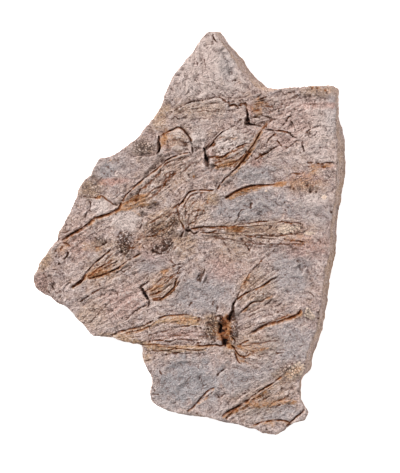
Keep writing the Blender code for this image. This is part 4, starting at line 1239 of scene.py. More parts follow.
def lanes(arms, first, last, rng):
    """The gaps between arms that lie side by side between two lines, broken where arms cross them."""
    steps = 18
    edges = guides(first, last, steps)
    ahead = np.linspace(0, 1, steps)
    seed = rng.uniform(0, 100)
    lines = []
    for number in range(1, arms):
        place = np.column_stack([np.full(steps, number * 0.45), ahead * length_of(edges[0]) / (9 * MM)])
        shares = (number + 0.55 * ripple(place, 1.0, seed, 2)) / arms
        line = edges[0] * (1 - shares[:, None]) + edges[1] * shares[:, None]
        first_step = int(rng.integers(0, 3))
        while first_step < steps - 2:
            last_step = first_step + int(rng.integers(4, 13))
            lines.append(curved(line[first_step:last_step + 1], 3))
            first_step = last_step + int(rng.integers(0, 3))
    return [line for line in lines if len(line) > 3]


def nicks(rng):
    """Short cuts scattered over the whole face, most of them lying the way the sea lilies lie."""
    middles = rng.uniform(*NICK_FIELD, (NICKS, 2))
    lines = []
    for middle in middles:
        turn = rng.normal(*NICK_TURN)
        half = rng.uniform(*NICK_HALF) * np.array([math.cos(turn), math.sin(turn)])
        bow = rng.normal(0, NICK_BOW) * np.array([-half[1], half[0]])
        lines.append(curved(on_face([middle - half, middle + bow, middle + half]), 3))
    return lines


def all_lines():
    """Every line on the face as (kind, smooth line, strength)."""
    rng = np.random.default_rng(SEED)
    found = [("hair", line, rng.uniform(0.4, 1.3)) for line in nicks(rng)]
    for lines in LINES.values():
        for kind, line in lines:
            found.append((kind, natural(line, rng), rng.uniform(0.85, 1.1)))
    for kind, count, first, last in SHEAVES.values():
        for line in sheaf(first, last, count, rng):
            found.append((kind, line, rng.uniform(0.5, 0.95)))
    for arms, strength, first, last in COMBED:
        for line in lanes(arms, first, last, rng):
            found.append(("gap", line, strength * rng.uniform(0.35, 1.0)))
    return found


def pits(lines):
    """Small holes near the lines, where plates have come away: place, radius and strength."""
    rng = np.random.default_rng(SEED + 5)
    places = []
    for number in rng.integers(0, len(lines), PITS):
        line = lines[number][1]
        places.append(line[rng.integers(0, len(line))] + rng.normal(0, PIT_SCATTER, 2))
    return list(zip(places, rng.uniform(*PIT_RADII, PITS) * MM, rng.uniform(0.4, 1.0, PITS)))


class Lay:
    """Which way the stone's fabric runs and how thickly the fossils lie, smoothed from the lines."""

    CELL = 2 * MM
    MARGIN = 4 * MM
    BLUR = (7, 2.6)  # in cells
    STRAW = 12  # half the length of the lines that stand for FABRIC, in chart units
    STRAW_WEIGHT = 0.25

    def __init__(self, lines):
        self.low = np.array(CAD_BOX[0][:2]) - self.MARGIN
        size = ((np.array(CAD_BOX[1][:2]) + self.MARGIN - self.low) / self.CELL).astype(int) + 1
        self.last = np.array(size) - 1
        cells = np.zeros((*size, 3))
        for _, line, strength in lines:
            self.pull(cells, line, strength, 1.0)
        for x, y, turn in FABRIC:
            angle = math.radians(turn)
            half = np.array([math.cos(angle), -math.sin(angle)]) * self.STRAW
            straw, _ = walked(on_face([(x, y) - half, (x, y) + half]), 1.0 * MM)
            self.pull(cells, straw, self.STRAW_WEIGHT, 0.0)
        self.cells = blurred(cells, *self.BLUR)
        self.thick = np.percentile(self.cells[..., 2], 92)

    def pull(self, cells, line, weight, shows):
        """Draws the fabric along a line, in the cells it crosses. Angles are doubled: a way has two ends."""
        steps = np.diff(line, axis=0)
        length = np.hypot(*steps.T) * weight
        angle = 2 * np.arctan2(steps[:, 1], steps[:, 0])
        middles = (line[:-1] + line[1:]) / 2
        at = np.clip(((middles - self.low) / self.CELL).astype(int), 0, self.last)
        pulls = np.column_stack([length * np.cos(angle), length * np.sin(angle), length * shows])
        np.add.at(cells, tuple(at.T), pulls)

    def at(self, points):
        """The way of the fabric and the thickness of the fossils at points, evened out between cells."""
        place = np.clip((points - self.low) / self.CELL - 0.5, 0, self.last - 0.001)
        cell = place.astype(int)
        part = place - cell
        values = 0
        for a, b in ((0, 0), (1, 0), (0, 1), (1, 1)):
            share = np.abs(1 - a - part[:, 0]) * np.abs(1 - b - part[:, 1])
            values = values + self.cells[cell[:, 0] + a, cell[:, 1] + b] * share[:, None]
        angle = np.arctan2(values[:, 1], values[:, 0]) / 2
        angle = np.where(angle < -math.pi / 3, angle + math.pi, angle)
        thick = 1 - np.exp(-1.6 * values[:, 2] / self.thick)
        return np.column_stack([np.cos(angle), np.sin(angle)]), thick


# ---------------------------------------------------------------- the face's relief and stains


class Face:
    """Heights and stains at points of the upper face. Each method adds one kind of feature."""

    CHANNELS = ("dark", "rust", "crust", "plates", "pink", "blue", "ochre", "pale")

    def __init__(self, points, lines, holes, lay):
        self.points = np.asarray(points)
        self.lines = lines
        self.holes = holes
        self.ways, self.thick = lay.at(self.points)
        self.height = np.full(len(points), THICKNESS)
        self.stain = {name: np.zeros(len(points)) for name in self.CHANNELS}

    def near(self, line, reach):
        """The numbers of the points within a reach of a line's box."""
        low = line.min(axis=0) - reach
        high = line.max(axis=0) + reach
        return np.flatnonzero(((self.points > low) & (self.points < high)).all(axis=1))

    def dome(self, middle, radius):
        """The points round a middle, and a flat-topped dome over them that ends at the radius."""
        near = self.near(middle, 2.5 * radius)
        return near, plateau(np.hypot(*(self.points[near] - middle).T) / radius)

    def lift(self, channel, near, amount):
        """Brings a stain up to an amount where it is weaker."""
        self.stain[channel][near] = np.maximum(self.stain[channel][near], amount)

    def wash(self, channel, near, amount):
        """Lays a stain over what is there already."""
        self.stain[channel][near] = 1 - (1 - self.stain[channel][near]) * (1 - amount)

    def lay_bedding(self):
        """The slow swell, flaking bedding planes and the uneven grain of the break."""
        points = self.points
        self.height += SWELL * ripple(points, SWELL_LENGTH, 3.1)
        self.height += CRUMPLE * ripple(points, CRUMPLE_LENGTH, 7.7)
        stretched = points @ BED_TURN * BED_STRETCH
        flakes = ripple(stretched, FLAKE_LENGTH, 11.0, 4) * 4.5
        steps = np.floor(flakes) + smooth(flakes - np.floor(flakes), 0.8, 0.98)
        self.height += FLAKE * np.clip(steps, -FLAKES_HIGH, FLAKES_HIGH)
        self.height += ROUGH * ripple(stretched, ROUGH_LENGTH, 15.0, 3)
        coarse = drawn_out(points, self.ways, 3.4 * MM, 10 * MM, 17.0)
        fine = drawn_out(points, self.ways, 1.7 * MM, 5 * MM, 19.0)
        self.height += COARSE_GRAIN * coarse * (0.35 + 0.65 * self.thick)
        self.height += FINE_GRAIN * fine * (0.4 + 0.6 * self.thick)
        self.height += SPECKLE * ripple(points, 1.9 * MM, 23.0)

    def round_arms(self):
        """Arms that lie side by side swell between the gaps that part them."""
        for _, strength, first, last in COMBED:
            edges = [curved(on_face(line)) for line in (first, last)]
            outline = np.vstack([edges[0], edges[1][::-1]])
            near = self.near(outline, 1.5 * MM)
            points = self.points[near]
            measures = [measured(edge, points) for edge in edges]
            gaps = np.column_stack([np.abs(off) for off, _, _ in measures])
            ahead = sum(along / length_of(edge) for (_, along, _), edge in zip(measures, edges)) / 2
            room = smooth(gaps.min(axis=1), 0, ARM_GAP) * smooth(np.minimum(ahead, 1 - ahead), 0, 0.12)
            self.height[near] += ARM_SWELL * strength * room * inside(points, outline)

    def step_ledges(self):
        """Steps in the bedding, each a short scarp that levels out on both sides and fades at its ends."""
        for drop, line in LEDGES.values():
            curve = curved(on_face(line))
            near = self.near(curve, 5 * LEDGE_REACH)
            off, along, _ = measured(curve, self.points[near])
            to_end = np.minimum(along, length_of(curve) - along)
            step = np.clip(off / SCARP, -1, 1) * smooth(to_end, 0, LEDGE_END)
            levels = np.exp(-np.maximum(np.abs(off) - SCARP, 0) / LEDGE_REACH)
            self.height[near] += step * drop * MM / 2 * levels

    def raise_spots(self):
        for x, y, radius, rise in SPOTS.values():
            middle = on_face([(x, y)])
            near = self.near(middle, 3 * radius * MM)
            points = self.points[near]
            uneven = 1 + ripple(points, 2.6 * MM, x) * 0.18
            distance = np.hypot(*(points - middle).T) / (radius * MM) * uneven
            self.height[near] += rise * MM * plateau(distance)

    def heap_plates(self):
        for x, y, half_width, half_length, rise, shows in HEAPS.values():
            middle = on_face([(x, y)])
            near = self.near(middle, 2 * max(half_width, half_length) * MM)
            points = self.points[near]
            off = (points - middle) / (half_width * MM, half_length * MM)
            cover = plateau(np.hypot(*off.T) * (1 + 0.2 * ripple(points, 2.4 * MM, x)))
            self.height[near] += rise * MM * cover * (0.8 + 0.35 * ripple(points, 1.5 * MM, y))
            self.lift("plates", near, shows * cover)

    def carve(self, kind, line, strength):
        """A furrow with a dark, ragged bed, painted shadow under its sunward bank, a painted highlight on
        its far bank, and iron stain around it pushed to the lit side.
        """
        width, depth, dark, rust, halo = KINDS[kind]
        half = width * MM / 2
        halo = halo * MM
        near = self.near(line, 3 * halo + half)
        points = self.points[near]
        off, along, left = measured(line, points)
        taper = smooth(np.minimum(along, length_of(line) - along), -0.6 * MM, 1.6 * MM)
        seed = 31 + 7 * float(line[0, 0]) * 1000
        ragged = 0.8 + 0.45 * ripple(points, 3.4 * MM, seed) + 0.35 * ripple(points, 1.3 * MM, seed + 1)
        strength = strength * taper * np.clip(ragged, 0.2, 1.25)
        bed = np.exp(-((off / half) ** 2) * 1.3) * strength
        bank = hump(np.abs(off), 1.5 * half, 0.6 * half) * strength
        self.height[near] -= depth * MM * (bed - 0.34 * bank)
        # The bed's dark core leans towards the light as painted shadow; the pale on the far bank is painted
        # highlight.
        facing = left @ SUNWARD
        painted_shadow_core = hump(off, 0.42 * half * facing, 0.45 * half)
        body = 0.5 * np.exp(-np.abs(off / (0.95 * half)) ** 3)
        self.lift("dark", near, dark * strength * np.maximum(painted_shadow_core, body))
        painted_highlight_bank = hump(off * facing, -1.9 * half * np.abs(facing), 0.6 * half) * np.abs(facing)
        self.lift("pale", near, 0.9 * dark * strength * painted_highlight_bank)
        # The iron stain is real, but its shift onto the lit bank is painted light.
        spread = np.exp(-np.abs((off + 0.8 * half * facing) / halo) ** 1.4)
        uneven = np.clip(0.75 + 0.6 * ripple(points, 4.5 * MM, seed + 3, 2), 0.1, 1.3)
        self.wash("rust", near, np.clip(rust * 0.8 * strength * spread * uneven, 0, 1))

    def sink_pits(self):
        for place, radius, strength in self.holes:
            near, hole = self.dome(place[None], radius)
            hole *= strength
            self.height[near] -= 1.1 * radius * hole
            # The dark that follows the hole's depth is painted shade.
            self.lift("dark", near, 0.85 * hole)

    def draw_blots(self):
        for channel, strength, rise, outline in BLOTS.values():
            ring = on_face(outline)
            near = self.near(ring, 2 * MM)
            points = self.points[near]
            off, _, _ = measured(np.vstack([ring, ring[:1]]), points)
            depth = np.where(inside(points, ring), 1, -1) * np.abs(off) / MM
            seed_x, seed_y = outline[0]
            ragged = 0.5 * ripple(points, 2.2 * MM, seed_x) + 0.5 * ripple(points, 1.1 * MM, seed_y)
            self.height[near] += rise * MM * smooth(depth + ragged, -0.2, 0.9)
            self.wash(channel, near, strength * smooth(depth + ragged, -0.2, 0.35))

    def drop_specks(self):
        for channel, specks in SPECKS.items():
            for x, y, radius in specks:
                near, spot = self.dome(on_face([(x, y)]), radius * MM)
                self.height[near] += SPECK_RISE[channel] * radius * MM * spot
                self.lift(channel, near, 0.9 * spot)

    def paint_patches(self):
        ragged = ripple(self.points, 4.0 * MM, 51.0, 4)
        for channel, x, y, half_width, half_length, turn, strength in PATCHES:
            middle = on_face([(x, y)])
            near = self.near(middle, 2.2 * max(half_width, half_length) * MM)
            angle = math.radians(turn)
            spin = np.array([[math.cos(angle), -math.sin(angle)], [math.sin(angle), math.cos(angle)]])
            off = (self.points[near] - middle) @ spin / (half_width * MM, half_length * MM)
            cover = 1 - smooth(np.hypot(*off.T) + 0.45 * ragged[near], 0.45, 1.35)
            self.wash(channel, near, strength * cover)

    def hollows(self):
        """How far each point lies below the stone around it, from -1 on crests to 1 in hollows."""
        at = ((self.points - self.points.min(axis=0)) / (0.8 * MM)).astype(int)
        sums = []
        for values in (self.height, np.ones(len(self.points))):
            total = np.zeros(at.max(axis=0) + 1)
            np.add.at(total, tuple(at.T), values)
            sums.append(blurred(total, 4, 2.0)[tuple(at.T)])
        return np.clip((sums[0] / sums[1] - self.height) / (0.45 * MM), -1, 1)

    def make(self):
        self.lay_bedding()
        self.round_arms()
        self.step_ledges()
        self.raise_spots()
        self.heap_plates()
        for kind, line, strength in self.lines:
            self.carve(kind, line, strength)
        self.sink_pits()
        self.draw_blots()
        self.drop_specks()
        self.paint_patches()
        return self


# ---------------------------------------------------------------- the skin


def edge_ring():
    """The rim as an even ring of points with a ragged break, and the lean of the side at each."""
    corners, leans = [], []
    for _, lean, line in EDGE:
        corners += line
        leans += [lean * MM] * len(line)
    ring, at = walked(on_face(corners), EDGE_STEP, closed=True)
    lean = evened(np.interp(at, np.arange(len(leans) + 1), [*leans, leans[0]]), 1, 6)
    ring = evened(ring, 6, 6)
    ragged = 0.5 * ripple(ring, 4.6 * MM, 61.0, 3) + 0.22 * ripple(ring, 1.6 * MM, 63.0, 2) - 0.3
    return ring + outward(ring) * (ragged * MM)[:, None], lean


def side_rows(rim, lean, lip_height):
    """The broken side as rows of points from the rim to the foot, with beds that stand out or fall back."""
    out = outward(rim)
    rows = []
    for level in np.linspace(1, 0, SIDE_ROWS):
        height = FOOT_HEIGHT + (lip_height - ARRIS - FOOT_HEIGHT) * level
        place = np.column_stack([rim, height])
        beds = np.tanh(2.6 * ripple(place * (1, 1, 13), 26 * MM, 71.0, 2))
        facets = ripple(place * (1, 1, 0.7), 6.5 * MM, 75.0, 3)
        crumbs = ripple(place, 1.7 * MM, 79.0, 2)
        off = 0.42 * beds + 0.42 * facets + 0.14 * crumbs - 0.35
        held = min(1.0, 3 * (1 - level))
        ring = rim + out * (lean * (1 - level) + off * MM * held)[:, None]
        rows.append(np.column_stack([ring, height]))
    return rows


def carved_points(lines, holes):
    """Points close along everything that is carved into the face or stands on it."""
    found = []
    for place, radius, _ in holes:
        found += [place[None], place + FIVE_WAYS * radius]
    for kind, line, _ in lines:
        half = KINDS[kind][0] * MM / 2
        bed, _ = walked(line, LINE_STEP)
        found.append(bed)
        if kind not in PLAIN_KINDS:
            found += [beside(bed, 0.6 * half), beside(bed, -0.6 * half)]
        if kind in WIDE_KINDS:
            found += [beside(bed, side * half) for side in (1.1, -1.1, 1.8, -1.8)]
    for _, line in LEDGES.values():
        brink, _ = walked(curved(on_face(line)), LINE_STEP)
        found += [beside(brink, SCARP), beside(brink, -SCARP)]
    for x, y, radius in (speck for specks in SPECKS.values() for speck in specks):
        found.append(on_face([(x, y)]) + FIVE_WAYS * radius * MM)
    for _, _, _, outline in BLOTS.values():
        ring, _ = walked(on_face(outline), LINE_STEP, closed=True)
        found.append(ring)
        spans = [np.arange(low, high, BLOT_STEP) for low, high in zip(ring.min(axis=0), ring.max(axis=0))]
        inner = np.stack(np.meshgrid(*spans), -1).reshape(-1, 2)
        found.append(inner[inside(inner, ring)])
    return np.vstack(found)


def face_points(lip, lines, holes):
    """Points over the face: close along what is carved, even and a little shaken elsewhere."""
    within = lip + outward(lip) * -0.4 * MM
    carved = carved_points(lines, holes)
    carved = thinned(carved[inside(carved, within)].tolist(), LINE_CLEARANCE, lip.tolist())
    grid = staggered(lip, GRID_STEP)
    grid += np.random.default_rng(SEED + 2).uniform(-0.22, 0.22, grid.shape) * GRID_STEP
    grid = thinned(grid[inside(grid, within)].tolist(), GRID_CLEARANCE, [*lip.tolist(), *carved])
    return np.vstack([lip, carved, grid])


def back_points(foot):
    """Points over the back, from an evened rim set in from the foot: it rests on its high places only."""
    sole = evened(foot - outward(foot) * SOLE_INSET, 2, 30)
    grid = staggered(sole, SOLE_STEP)
    grid = thinned(grid[inside(grid, sole)].tolist(), 0.6 * SOLE_STEP, sole.tolist())
    back = np.vstack([sole, grid])
    hollows = ripple(back, 17 * MM, 91.0, 4)
    return np.column_stack([back, np.clip(0.25 + 0.55 * hollows, 0, 0.9) * MM])


def filled(points, ring_size):
    """Triangles over the points, inside the ring that the first of them make."""
    ring = [(k, (k + 1) % ring_size) for k in range(ring_size)]
    made = delaunay_2d_cdt([Vector(p) for p in points.tolist()], ring, [], 1, 1e-9)
    if len(made[0]) != len(points):
        raise ValueError("the triangulation added or merged points")
    return np.array(made[2])


def band(above, below, count):
    """Triangles between two rings of points, given each ring's first index."""
    k = np.arange(count)
    after = (k + 1) % count
    upper = np.column_stack([above + k, below + k, below + after])
    lower = np.column_stack([above + k, below + after, above + after])
    return np.vstack([upper, lower])


def slab_skin():
    """The whole plate as one closed mesh with its stains, and a flat layout for its finish."""
    rim, lean = edge_ring()
    chips = np.clip(0.75 + 0.9 * ripple(rim, 3.4 * MM, 83.0, 2), 0.3, 2.2)
    lip = rim - outward(rim) * (ARRIS * chips)[:, None]
    count = len(rim)

    lines = all_lines()
    holes = pits(lines)
    flat = face_points(lip, lines, holes)
    face = Face(flat, lines, holes, Lay(lines)).make()
    rows = side_rows(rim, lean, face.height[:count])
    back = back_points(rows[-1][:, :2])

    points = np.vstack([np.column_stack([flat, face.height]), *rows, back])
    rings = [0, *range(len(flat), len(points) - len(back) + 1, count)]
    bands = [band(above, below, count) for above, below in zip(rings, rings[1:])]
    cover = filled(flat, count)
    bottom = filled(back[:, :2], count)[:, ::-1] + rings[-1]
    points = np.clip(points, CAD_BOX[0], CAD_BOX[1])

    mesh = bpy.data.meshes.new("fossil_slab_skin")
    mesh.from_pydata(points.tolist(), [], np.vstack([cover, *bands, bottom]).tolist())
    mesh.update()
    mesh.shade_smooth()
    mesh.set_sharp_from_angle(angle=SHARP_ANGLE)
    add_layout(mesh, points[cover], len(bands), count, points[bottom])
    write_stains(mesh, face, points, rings[1], rings[-1], rim)
    return mesh


# ---------------------------------------------------------------- the layout and the attributes of the skin

# Lengths on the layout are shares of its width, and scales are such shares for a metre
LAYOUT_EDGE = 0.005
FACE_SCALE = 3.85
BACK_SCALE = 2.25
BACK_START = 0.99
SIDE_STRIPS = 3
STRIP_TOP = 0.862
STRIP_HEIGHT = 0.062
STRIP_SPACING = 0.067
STRIP_LENGTH = 0.985

# Between which places each painted shade of the side comes up: southward and down for the painted shadow
# on the foot, northward for the painted shade on the facet by the peak
PAINTED_SHADOW_SOUTH = (-78 * MM, -86 * MM)
PAINTED_SHADOW_DOWN = (13 * MM, 4 * MM)
PAINTED_SHADE_FACET_NORTH = (70 * MM, 74 * MM)


def spread_out(corners, start, scale):
    """Where a flat side's corners lie on the layout; a negative scale mirrors it."""
    low = np.array(CAD_BOX[0][:2])
    return (corners[:, :, :2] - low) * (scale, abs(scale)) + (start, LAYOUT_EDGE)


def side_strips(bands, count):
    """Where the corners of the bands round the side lie on the layout: in strips, one above the other."""
    k = np.arange(count)
    number = SIDE_STRIPS * k // count
    found = []
    for level in range(bands):
        for along, down in (((k, k, k + 1), (0, 1, 1)), ((k, k + 1, k + 1), (0, 1, 0))):
            share = SIDE_STRIPS * np.stack(along, 1) / count - number[:, None]
            across = LAYOUT_EDGE + STRIP_LENGTH * share
            drop = STRIP_HEIGHT * (level + np.array(down)) / bands
            found.append(np.stack([across, STRIP_TOP + STRIP_SPACING * number[:, None] - drop], -1))
    return found


def add_layout(mesh, cover, bands, count, bottom):
    """The flat layout of the whole skin: the face, the side in strips above it and the back beside it."""
    layout = [spread_out(cover, LAYOUT_EDGE, FACE_SCALE), *side_strips(bands, count)]
    layout.append(spread_out(bottom, BACK_START, -BACK_SCALE))
    mesh.uv_layers.new(name="OFBake").data.foreach_set("uv", np.concatenate(layout).ravel())


def side_stains(sides, rim):
    """The stains of the side: uneven ochre, painted shadow as a blue-grey foot in the south and painted
    shade as a dark facet by the peak.
    """
    facing = np.tile(outward(rim), (len(sides) // len(rim), 1))
    southward = smooth(sides[:, 1], *PAINTED_SHADOW_SOUTH) * smooth(-facing[:, 1], -0.1, 0.8)
    uneven_height = sides[:, 2] + 5 * MM * ripple(sides, 9 * MM, 98.0, 3)
    foot = southward * smooth(uneven_height, *PAINTED_SHADOW_DOWN)
    painted_facet_shade = smooth(sides[:, 1], *PAINTED_SHADE_FACET_NORTH) * smooth(facing[:, 0], 0.3, 0.6)
    ochre = np.clip(0.3 + 0.5 * ripple(sides, 11 * MM, 95.0, 3), 0, 1)
    return {"ochre": ochre * (1 - 0.8 * foot), "blue": 0.7 * foot, "dark": 0.14 * np.maximum(foot, painted_facet_shade)}


def fabric_of(face, total, top_count, sole_start, rim):
    """For each point: the way of the fabric, how thickly fossils lie there and how hollow it is."""
    fabric = np.zeros((total, 4), np.float32)
    fabric[:, :3] = BACK_FABRIC
    fabric[:top_count, :2] = face.ways
    fabric[:top_count, 2] = face.thick
    fabric[:top_count, 3] = face.hollows()
    along = np.roll(rim, -1, axis=0) - np.roll(rim, 1, axis=0)
    along /= np.hypot(*along.T)[:, None]
    fabric[top_count:sole_start, :2] = np.tile(along, ((sole_start - top_count) // len(rim), 1))
    fabric[top_count:sole_start, 2] = SIDE_FABRIC
    return fabric


def write_stains(mesh, face, points, top_count, sole_start, rim):
    """The stains of the whole skin and its fabric, as attributes that the material reads. Among the stains
    are painted shadow and painted highlight.
    """
    stain = {name: np.zeros(len(points)) for name in Face.CHANNELS}
    for name, values in face.stain.items():
        stain[name][:top_count] = values
    for name, values in side_stains(points[top_count:sole_start], rim).items():
        stain[name][top_count:sole_start] = values
    stain["ochre"][sole_start:] = np.clip(0.25 + 0.6 * ripple(points[sole_start:], 24 * MM, 97.0, 3), 0, 1)
    attributes = {"fabric": fabric_of(face, len(points), top_count, sole_start, rim)}
    for name, first in {"stains": 0, "tints": 4}.items():
        channels = Face.CHANNELS[first:first + 4]
        attributes[name] = np.column_stack([stain[channel] for channel in channels]).astype(np.float32)
    for name, values in attributes.items():
        mesh.attributes.new(name, "FLOAT_COLOR", "POINT").data.foreach_set("color", values.ravel())


# ---------------------------------------------------------------- materials


def srgb(code):
    """A colour from its six hexadecimal digits, as linear red, green, blue and alpha."""
    parts = [int(code[k:k + 2], 16) / 255 for k in (0, 2, 4)]
    return tuple(c / 12.92 if c <= 0.04045 else ((c + 0.055) / 1.055) ** 2.4 for c in parts) + (1.0,)


# The colours of the stone itself, and of the stains that lie evenly on it. The hollow and depth tones are
# painted shade for the low places of the relief, and the pale tone laid on its high places is painted
# highlight. The pale stain also carries painted highlight on the far banks of lines, and the blue one
# painted shadow on the side's foot.
STONE = {
    "shade": "bea8a2",
    "light": "d3bcb5",
    "rose": "c8aaa1",
    "sand": "c9a58c",
    "mauve": "a49da3",
    "warm": "c49c84",
    "hollow": "7e6861",
    "depth": "5a3c2e",
    "painted_highlight": "efdcd4",
    "crust": "fadfca",
    "gap": "43312a",
    "fresh_rust": "cd9463",
    "old_rust": "955626",
    "bed": "6b4c3f",
    "rusty_bed": "824622",
    "ink": "2a130a",
}
STAINS = {"blue": "aea8aa", "pink": "ca9c8f", "ochre": "c49d78", "pale": "ead6ce"}
STREAK_STEP = 0.8 * MM
PLATE_SIZE = 1.4 * MM
RELIEF = 1.7 * MM  # how deep the relief goes that is too fine to model
FLOOR_COLOUR = "fafafa"
FLOOR_GLOW = 0.75  # the floor is a pale lit table


class Tree:
    """A material's node tree, with short ways to add nodes. An input is a value or a node's socket."""

    def __init__(self, name):
        self.material = bpy.data.materials.new(name)
        self.material.use_nodes = True
        self.nodes = self.material.node_tree.nodes
        self.links = self.material.node_tree.links
        self.shader = self.nodes["Principled BSDF"]

    def put(self, socket, value):
        if isinstance(value, bpy.types.NodeSocket):
            self.links.new(value, socket)
        else:
            socket.default_value = value

    def add(self, kind, inputs=(), **settings):
        node = self.nodes.new(kind)
        for name, value in settings.items():
            setattr(node, name, value)
        for key, value in dict(inputs).items():
            self.put(node.inputs[key], value)
        return node

    def noise(self, place, length, detail=3.0, roughness=0.55):
        """Noise from 0 to 1 with bumps of a given length in metres."""
        inputs = {"Vector": place, "Scale": 1 / length, "Detail": detail, "Roughness": roughness}
        return self.add("ShaderNodeTexNoise", inputs).outputs["Fac"]

    def channels(self, name):
        """The four channels of an attribute."""
        attribute = self.add("ShaderNodeAttribute", attribute_name=name)
        parts = self.add("ShaderNodeSeparateColor", {"Color": attribute.outputs["Color"]})
        return (*parts.outputs[:3], attribute.outputs["Alpha"])

    def pair(self, x, y):
        """A vector in the plane from its two parts."""
        return self.add("ShaderNodeCombineXYZ", {"X": x, "Y": y}).outputs[0]

    def shifted(self, place, way, reach):
        """A place moved along a way by a reach."""
        inputs = {0: way, 1: (reach, reach, reach), 2: place}
        return self.add("ShaderNodeVectorMath", inputs, operation="MULTIPLY_ADD").outputs[0]

    def ramp(self, value, low, high):
        """0 where a value is at low, 1 where it is at high."""
        inputs = {"Value": value, "From Min": low, "From Max": high}
        return self.add("ShaderNodeMapRange", inputs, interpolation_type="SMOOTHSTEP").outputs["Result"]

    def math(self, operation, a, b, clamp=False):
        return self.add("ShaderNodeMath", {0: a, 1: b}, operation=operation, use_clamp=clamp).outputs[0]

    def plus(self, a, b):
        return self.math("ADD", a, b)

    def less(self, a, b):
        return self.math("SUBTRACT", a, b)

    def times(self, a, b, clamp=False):
        return self.math("MULTIPLY", a, b, clamp)

    def wave(self, value, strength):
        """Noise from 0 to 1 as a wave about zero."""
        return self.times(self.less(value, 0.5), strength)

    def mix(self, factor, a, b):
        node = self.add("ShaderNodeMix", {"Factor": factor, 6: a, 7: b}, data_type="RGBA", blend_type="MIX")
        return node.outputs[2]

    def over(self, colour, tone, cover, strength):
        """A colour with one of the stone's tones laid over it."""
        return self.mix(self.times(cover, strength), colour, srgb(STONE[tone]))


def siltstone():
    """Rough mauve-grey siltstone, drawn out along the fossils, with painted highlight on crests and painted
    shade in hollows.
    """
    tree = Tree("siltstone_skin")
    plus, less, times, ramp, wave, over = tree.plus, tree.less, tree.times, tree.ramp, tree.wave, tree.over
    place = tree.add("ShaderNodeTexCoord").outputs["Object"]
    dark, rust, crust, plates = tree.channels("stains")
    pink, blue, ochre, pale = tree.channels("tints")
    way_x, way_y, thick, hollow = tree.channels("fabric")
    way = tree.pair(way_x, way_y)

    broad = tree.noise(place, 22 * MM, 3)
    mottle = tree.noise(place, 6.0 * MM, 4, 0.6)
    hue = tree.noise(tree.shifted(place, (0.5, 0.3, 0.1), 1.0), 3.6 * MM, 4, 0.65)
    lump = tree.noise(place, 2.0 * MM, 4, 0.62)
    fleck = tree.noise(place, 0.95 * MM, 3, 0.6)
    grain = tree.noise(place, 0.55 * MM, 2, 0.5)
    streak = 0.0
    for step in (-2, -1, 0, 1, 2):
        spot = tree.shifted(place, way, step * STREAK_STEP)
        streak = plus(streak, tree.noise(spot, 1.15 * MM, 2, 0.6))
    streak = times(streak, 0.2)

    # The relief that is too fine to model, about zero
    rise = wave(lump, 0.9)
    rise = plus(rise, wave(fleck, 1.2))
    rise = plus(rise, wave(grain, 0.7))
    rise = plus(rise, wave(streak, plus(times(thick, 2.6), 0.2)))

    # Small plates of the skeletons, with dark gaps
    warped = {"Vector": tree.shifted(place, tree.pair(lump, fleck), 0.9 * MM), "Scale": 1 / PLATE_SIZE}
    cells = tree.add("ShaderNodeTexVoronoi", warped, feature="DISTANCE_TO_EDGE").outputs["Distance"]
    gaps = times(ramp(cells, 0.2, 0.04), plates)
    rise = less(rise, times(gaps, 0.5))

    # The stone's own colour, then the even stains
    colour = tree.mix(ramp(mottle, 0.36, 0.64), srgb(STONE["shade"]), srgb(STONE["light"]))
    colour = over(colour, "rose", ramp(broad, 0.42, 0.62), 0.35)
    colour = over(colour, "sand", ramp(hue, 0.5, 0.68), 0.45)
    colour = over(colour, "mauve", ramp(hue, 0.46, 0.3), 0.45)
    colour = over(colour, "warm", ramp(mottle, 0.34, 0.6), times(thick, 0.42))
    uneven = plus(times(lump, 1.4), 0.3)
    # The blue and pale stains also hold painted shadow on the side's foot and painted highlight on the far
    # banks of lines
    for amount, name in ((blue, "blue"), (pink, "pink"), (ochre, "ochre"), (pale, "pale")):
        colour = tree.mix(times(amount, uneven, True), colour, srgb(STAINS[name]))

    # Painted shade in hollows, painted highlight on crests, flakes of crust and the gaps between plates
    calm = less(1.0, times(plus(pale, blue), 0.28))
    level = plus(times(rise, calm), times(hollow, -0.25))
    level = plus(level, wave(grain, 0.55))
    colour = over(colour, "hollow", ramp(level, 0.06, -0.5), 0.9)
    colour = over(colour, "depth", times(ramp(level, -0.15, -0.55), plus(thick, 0.1)), 0.9)
    colour = over(colour, "painted_highlight", ramp(level, 0.0, 0.42), less(0.78, times(blue, 0.4)))
    flaky = plus(times(crust, 2.2), times(fleck, 3.0))
    colour = over(colour, "crust", ramp(flaky, 2.25, 2.75), 0.9)
    colour = over(colour, "gap", gaps, 0.85)

    # Iron stain, broken along the fabric, and the dark beds of the lines. The dark stain also holds painted
    # shadow: under the sunward banks of lines, in clefts and pits, and on the side's foot.
    ragged = plus(times(fleck, 0.8), times(lump, 0.6))
    broken = plus(times(ragged, 2.6), times(streak, 3.0))
    rusty = times(rust, less(broken, 2.4))
    colour = over(colour, "fresh_rust", ramp(rusty, 0.1, 0.7), 0.85)
    colour = over(colour, "old_rust", ramp(rusty, 0.5, 1.1), 0.85)
    inky = times(dark, less(times(ragged, 2.2), 0.4))
    bed = tree.mix(ramp(rust, 0.05, 0.5), srgb(STONE["bed"]), srgb(STONE["rusty_bed"]))
    colour = tree.mix(times(ramp(inky, 0.12, 0.5), 0.92), colour, bed)
    colour = tree.mix(ramp(inky, 0.6, 1.0), colour, srgb(STONE["ink"]))

    bump = tree.add("ShaderNodeBump", {"Height": rise, "Strength": 1.0, "Distance": RELIEF})
    tree.put(tree.shader.inputs["Base Color"], colour)
    tree.put(tree.shader.inputs["Roughness"], 0.9)
    tree.put(tree.shader.inputs["Specular IOR Level"], 0.25)
    tree.put(tree.shader.inputs["Normal"], bump.outputs["Normal"])
    return tree.material


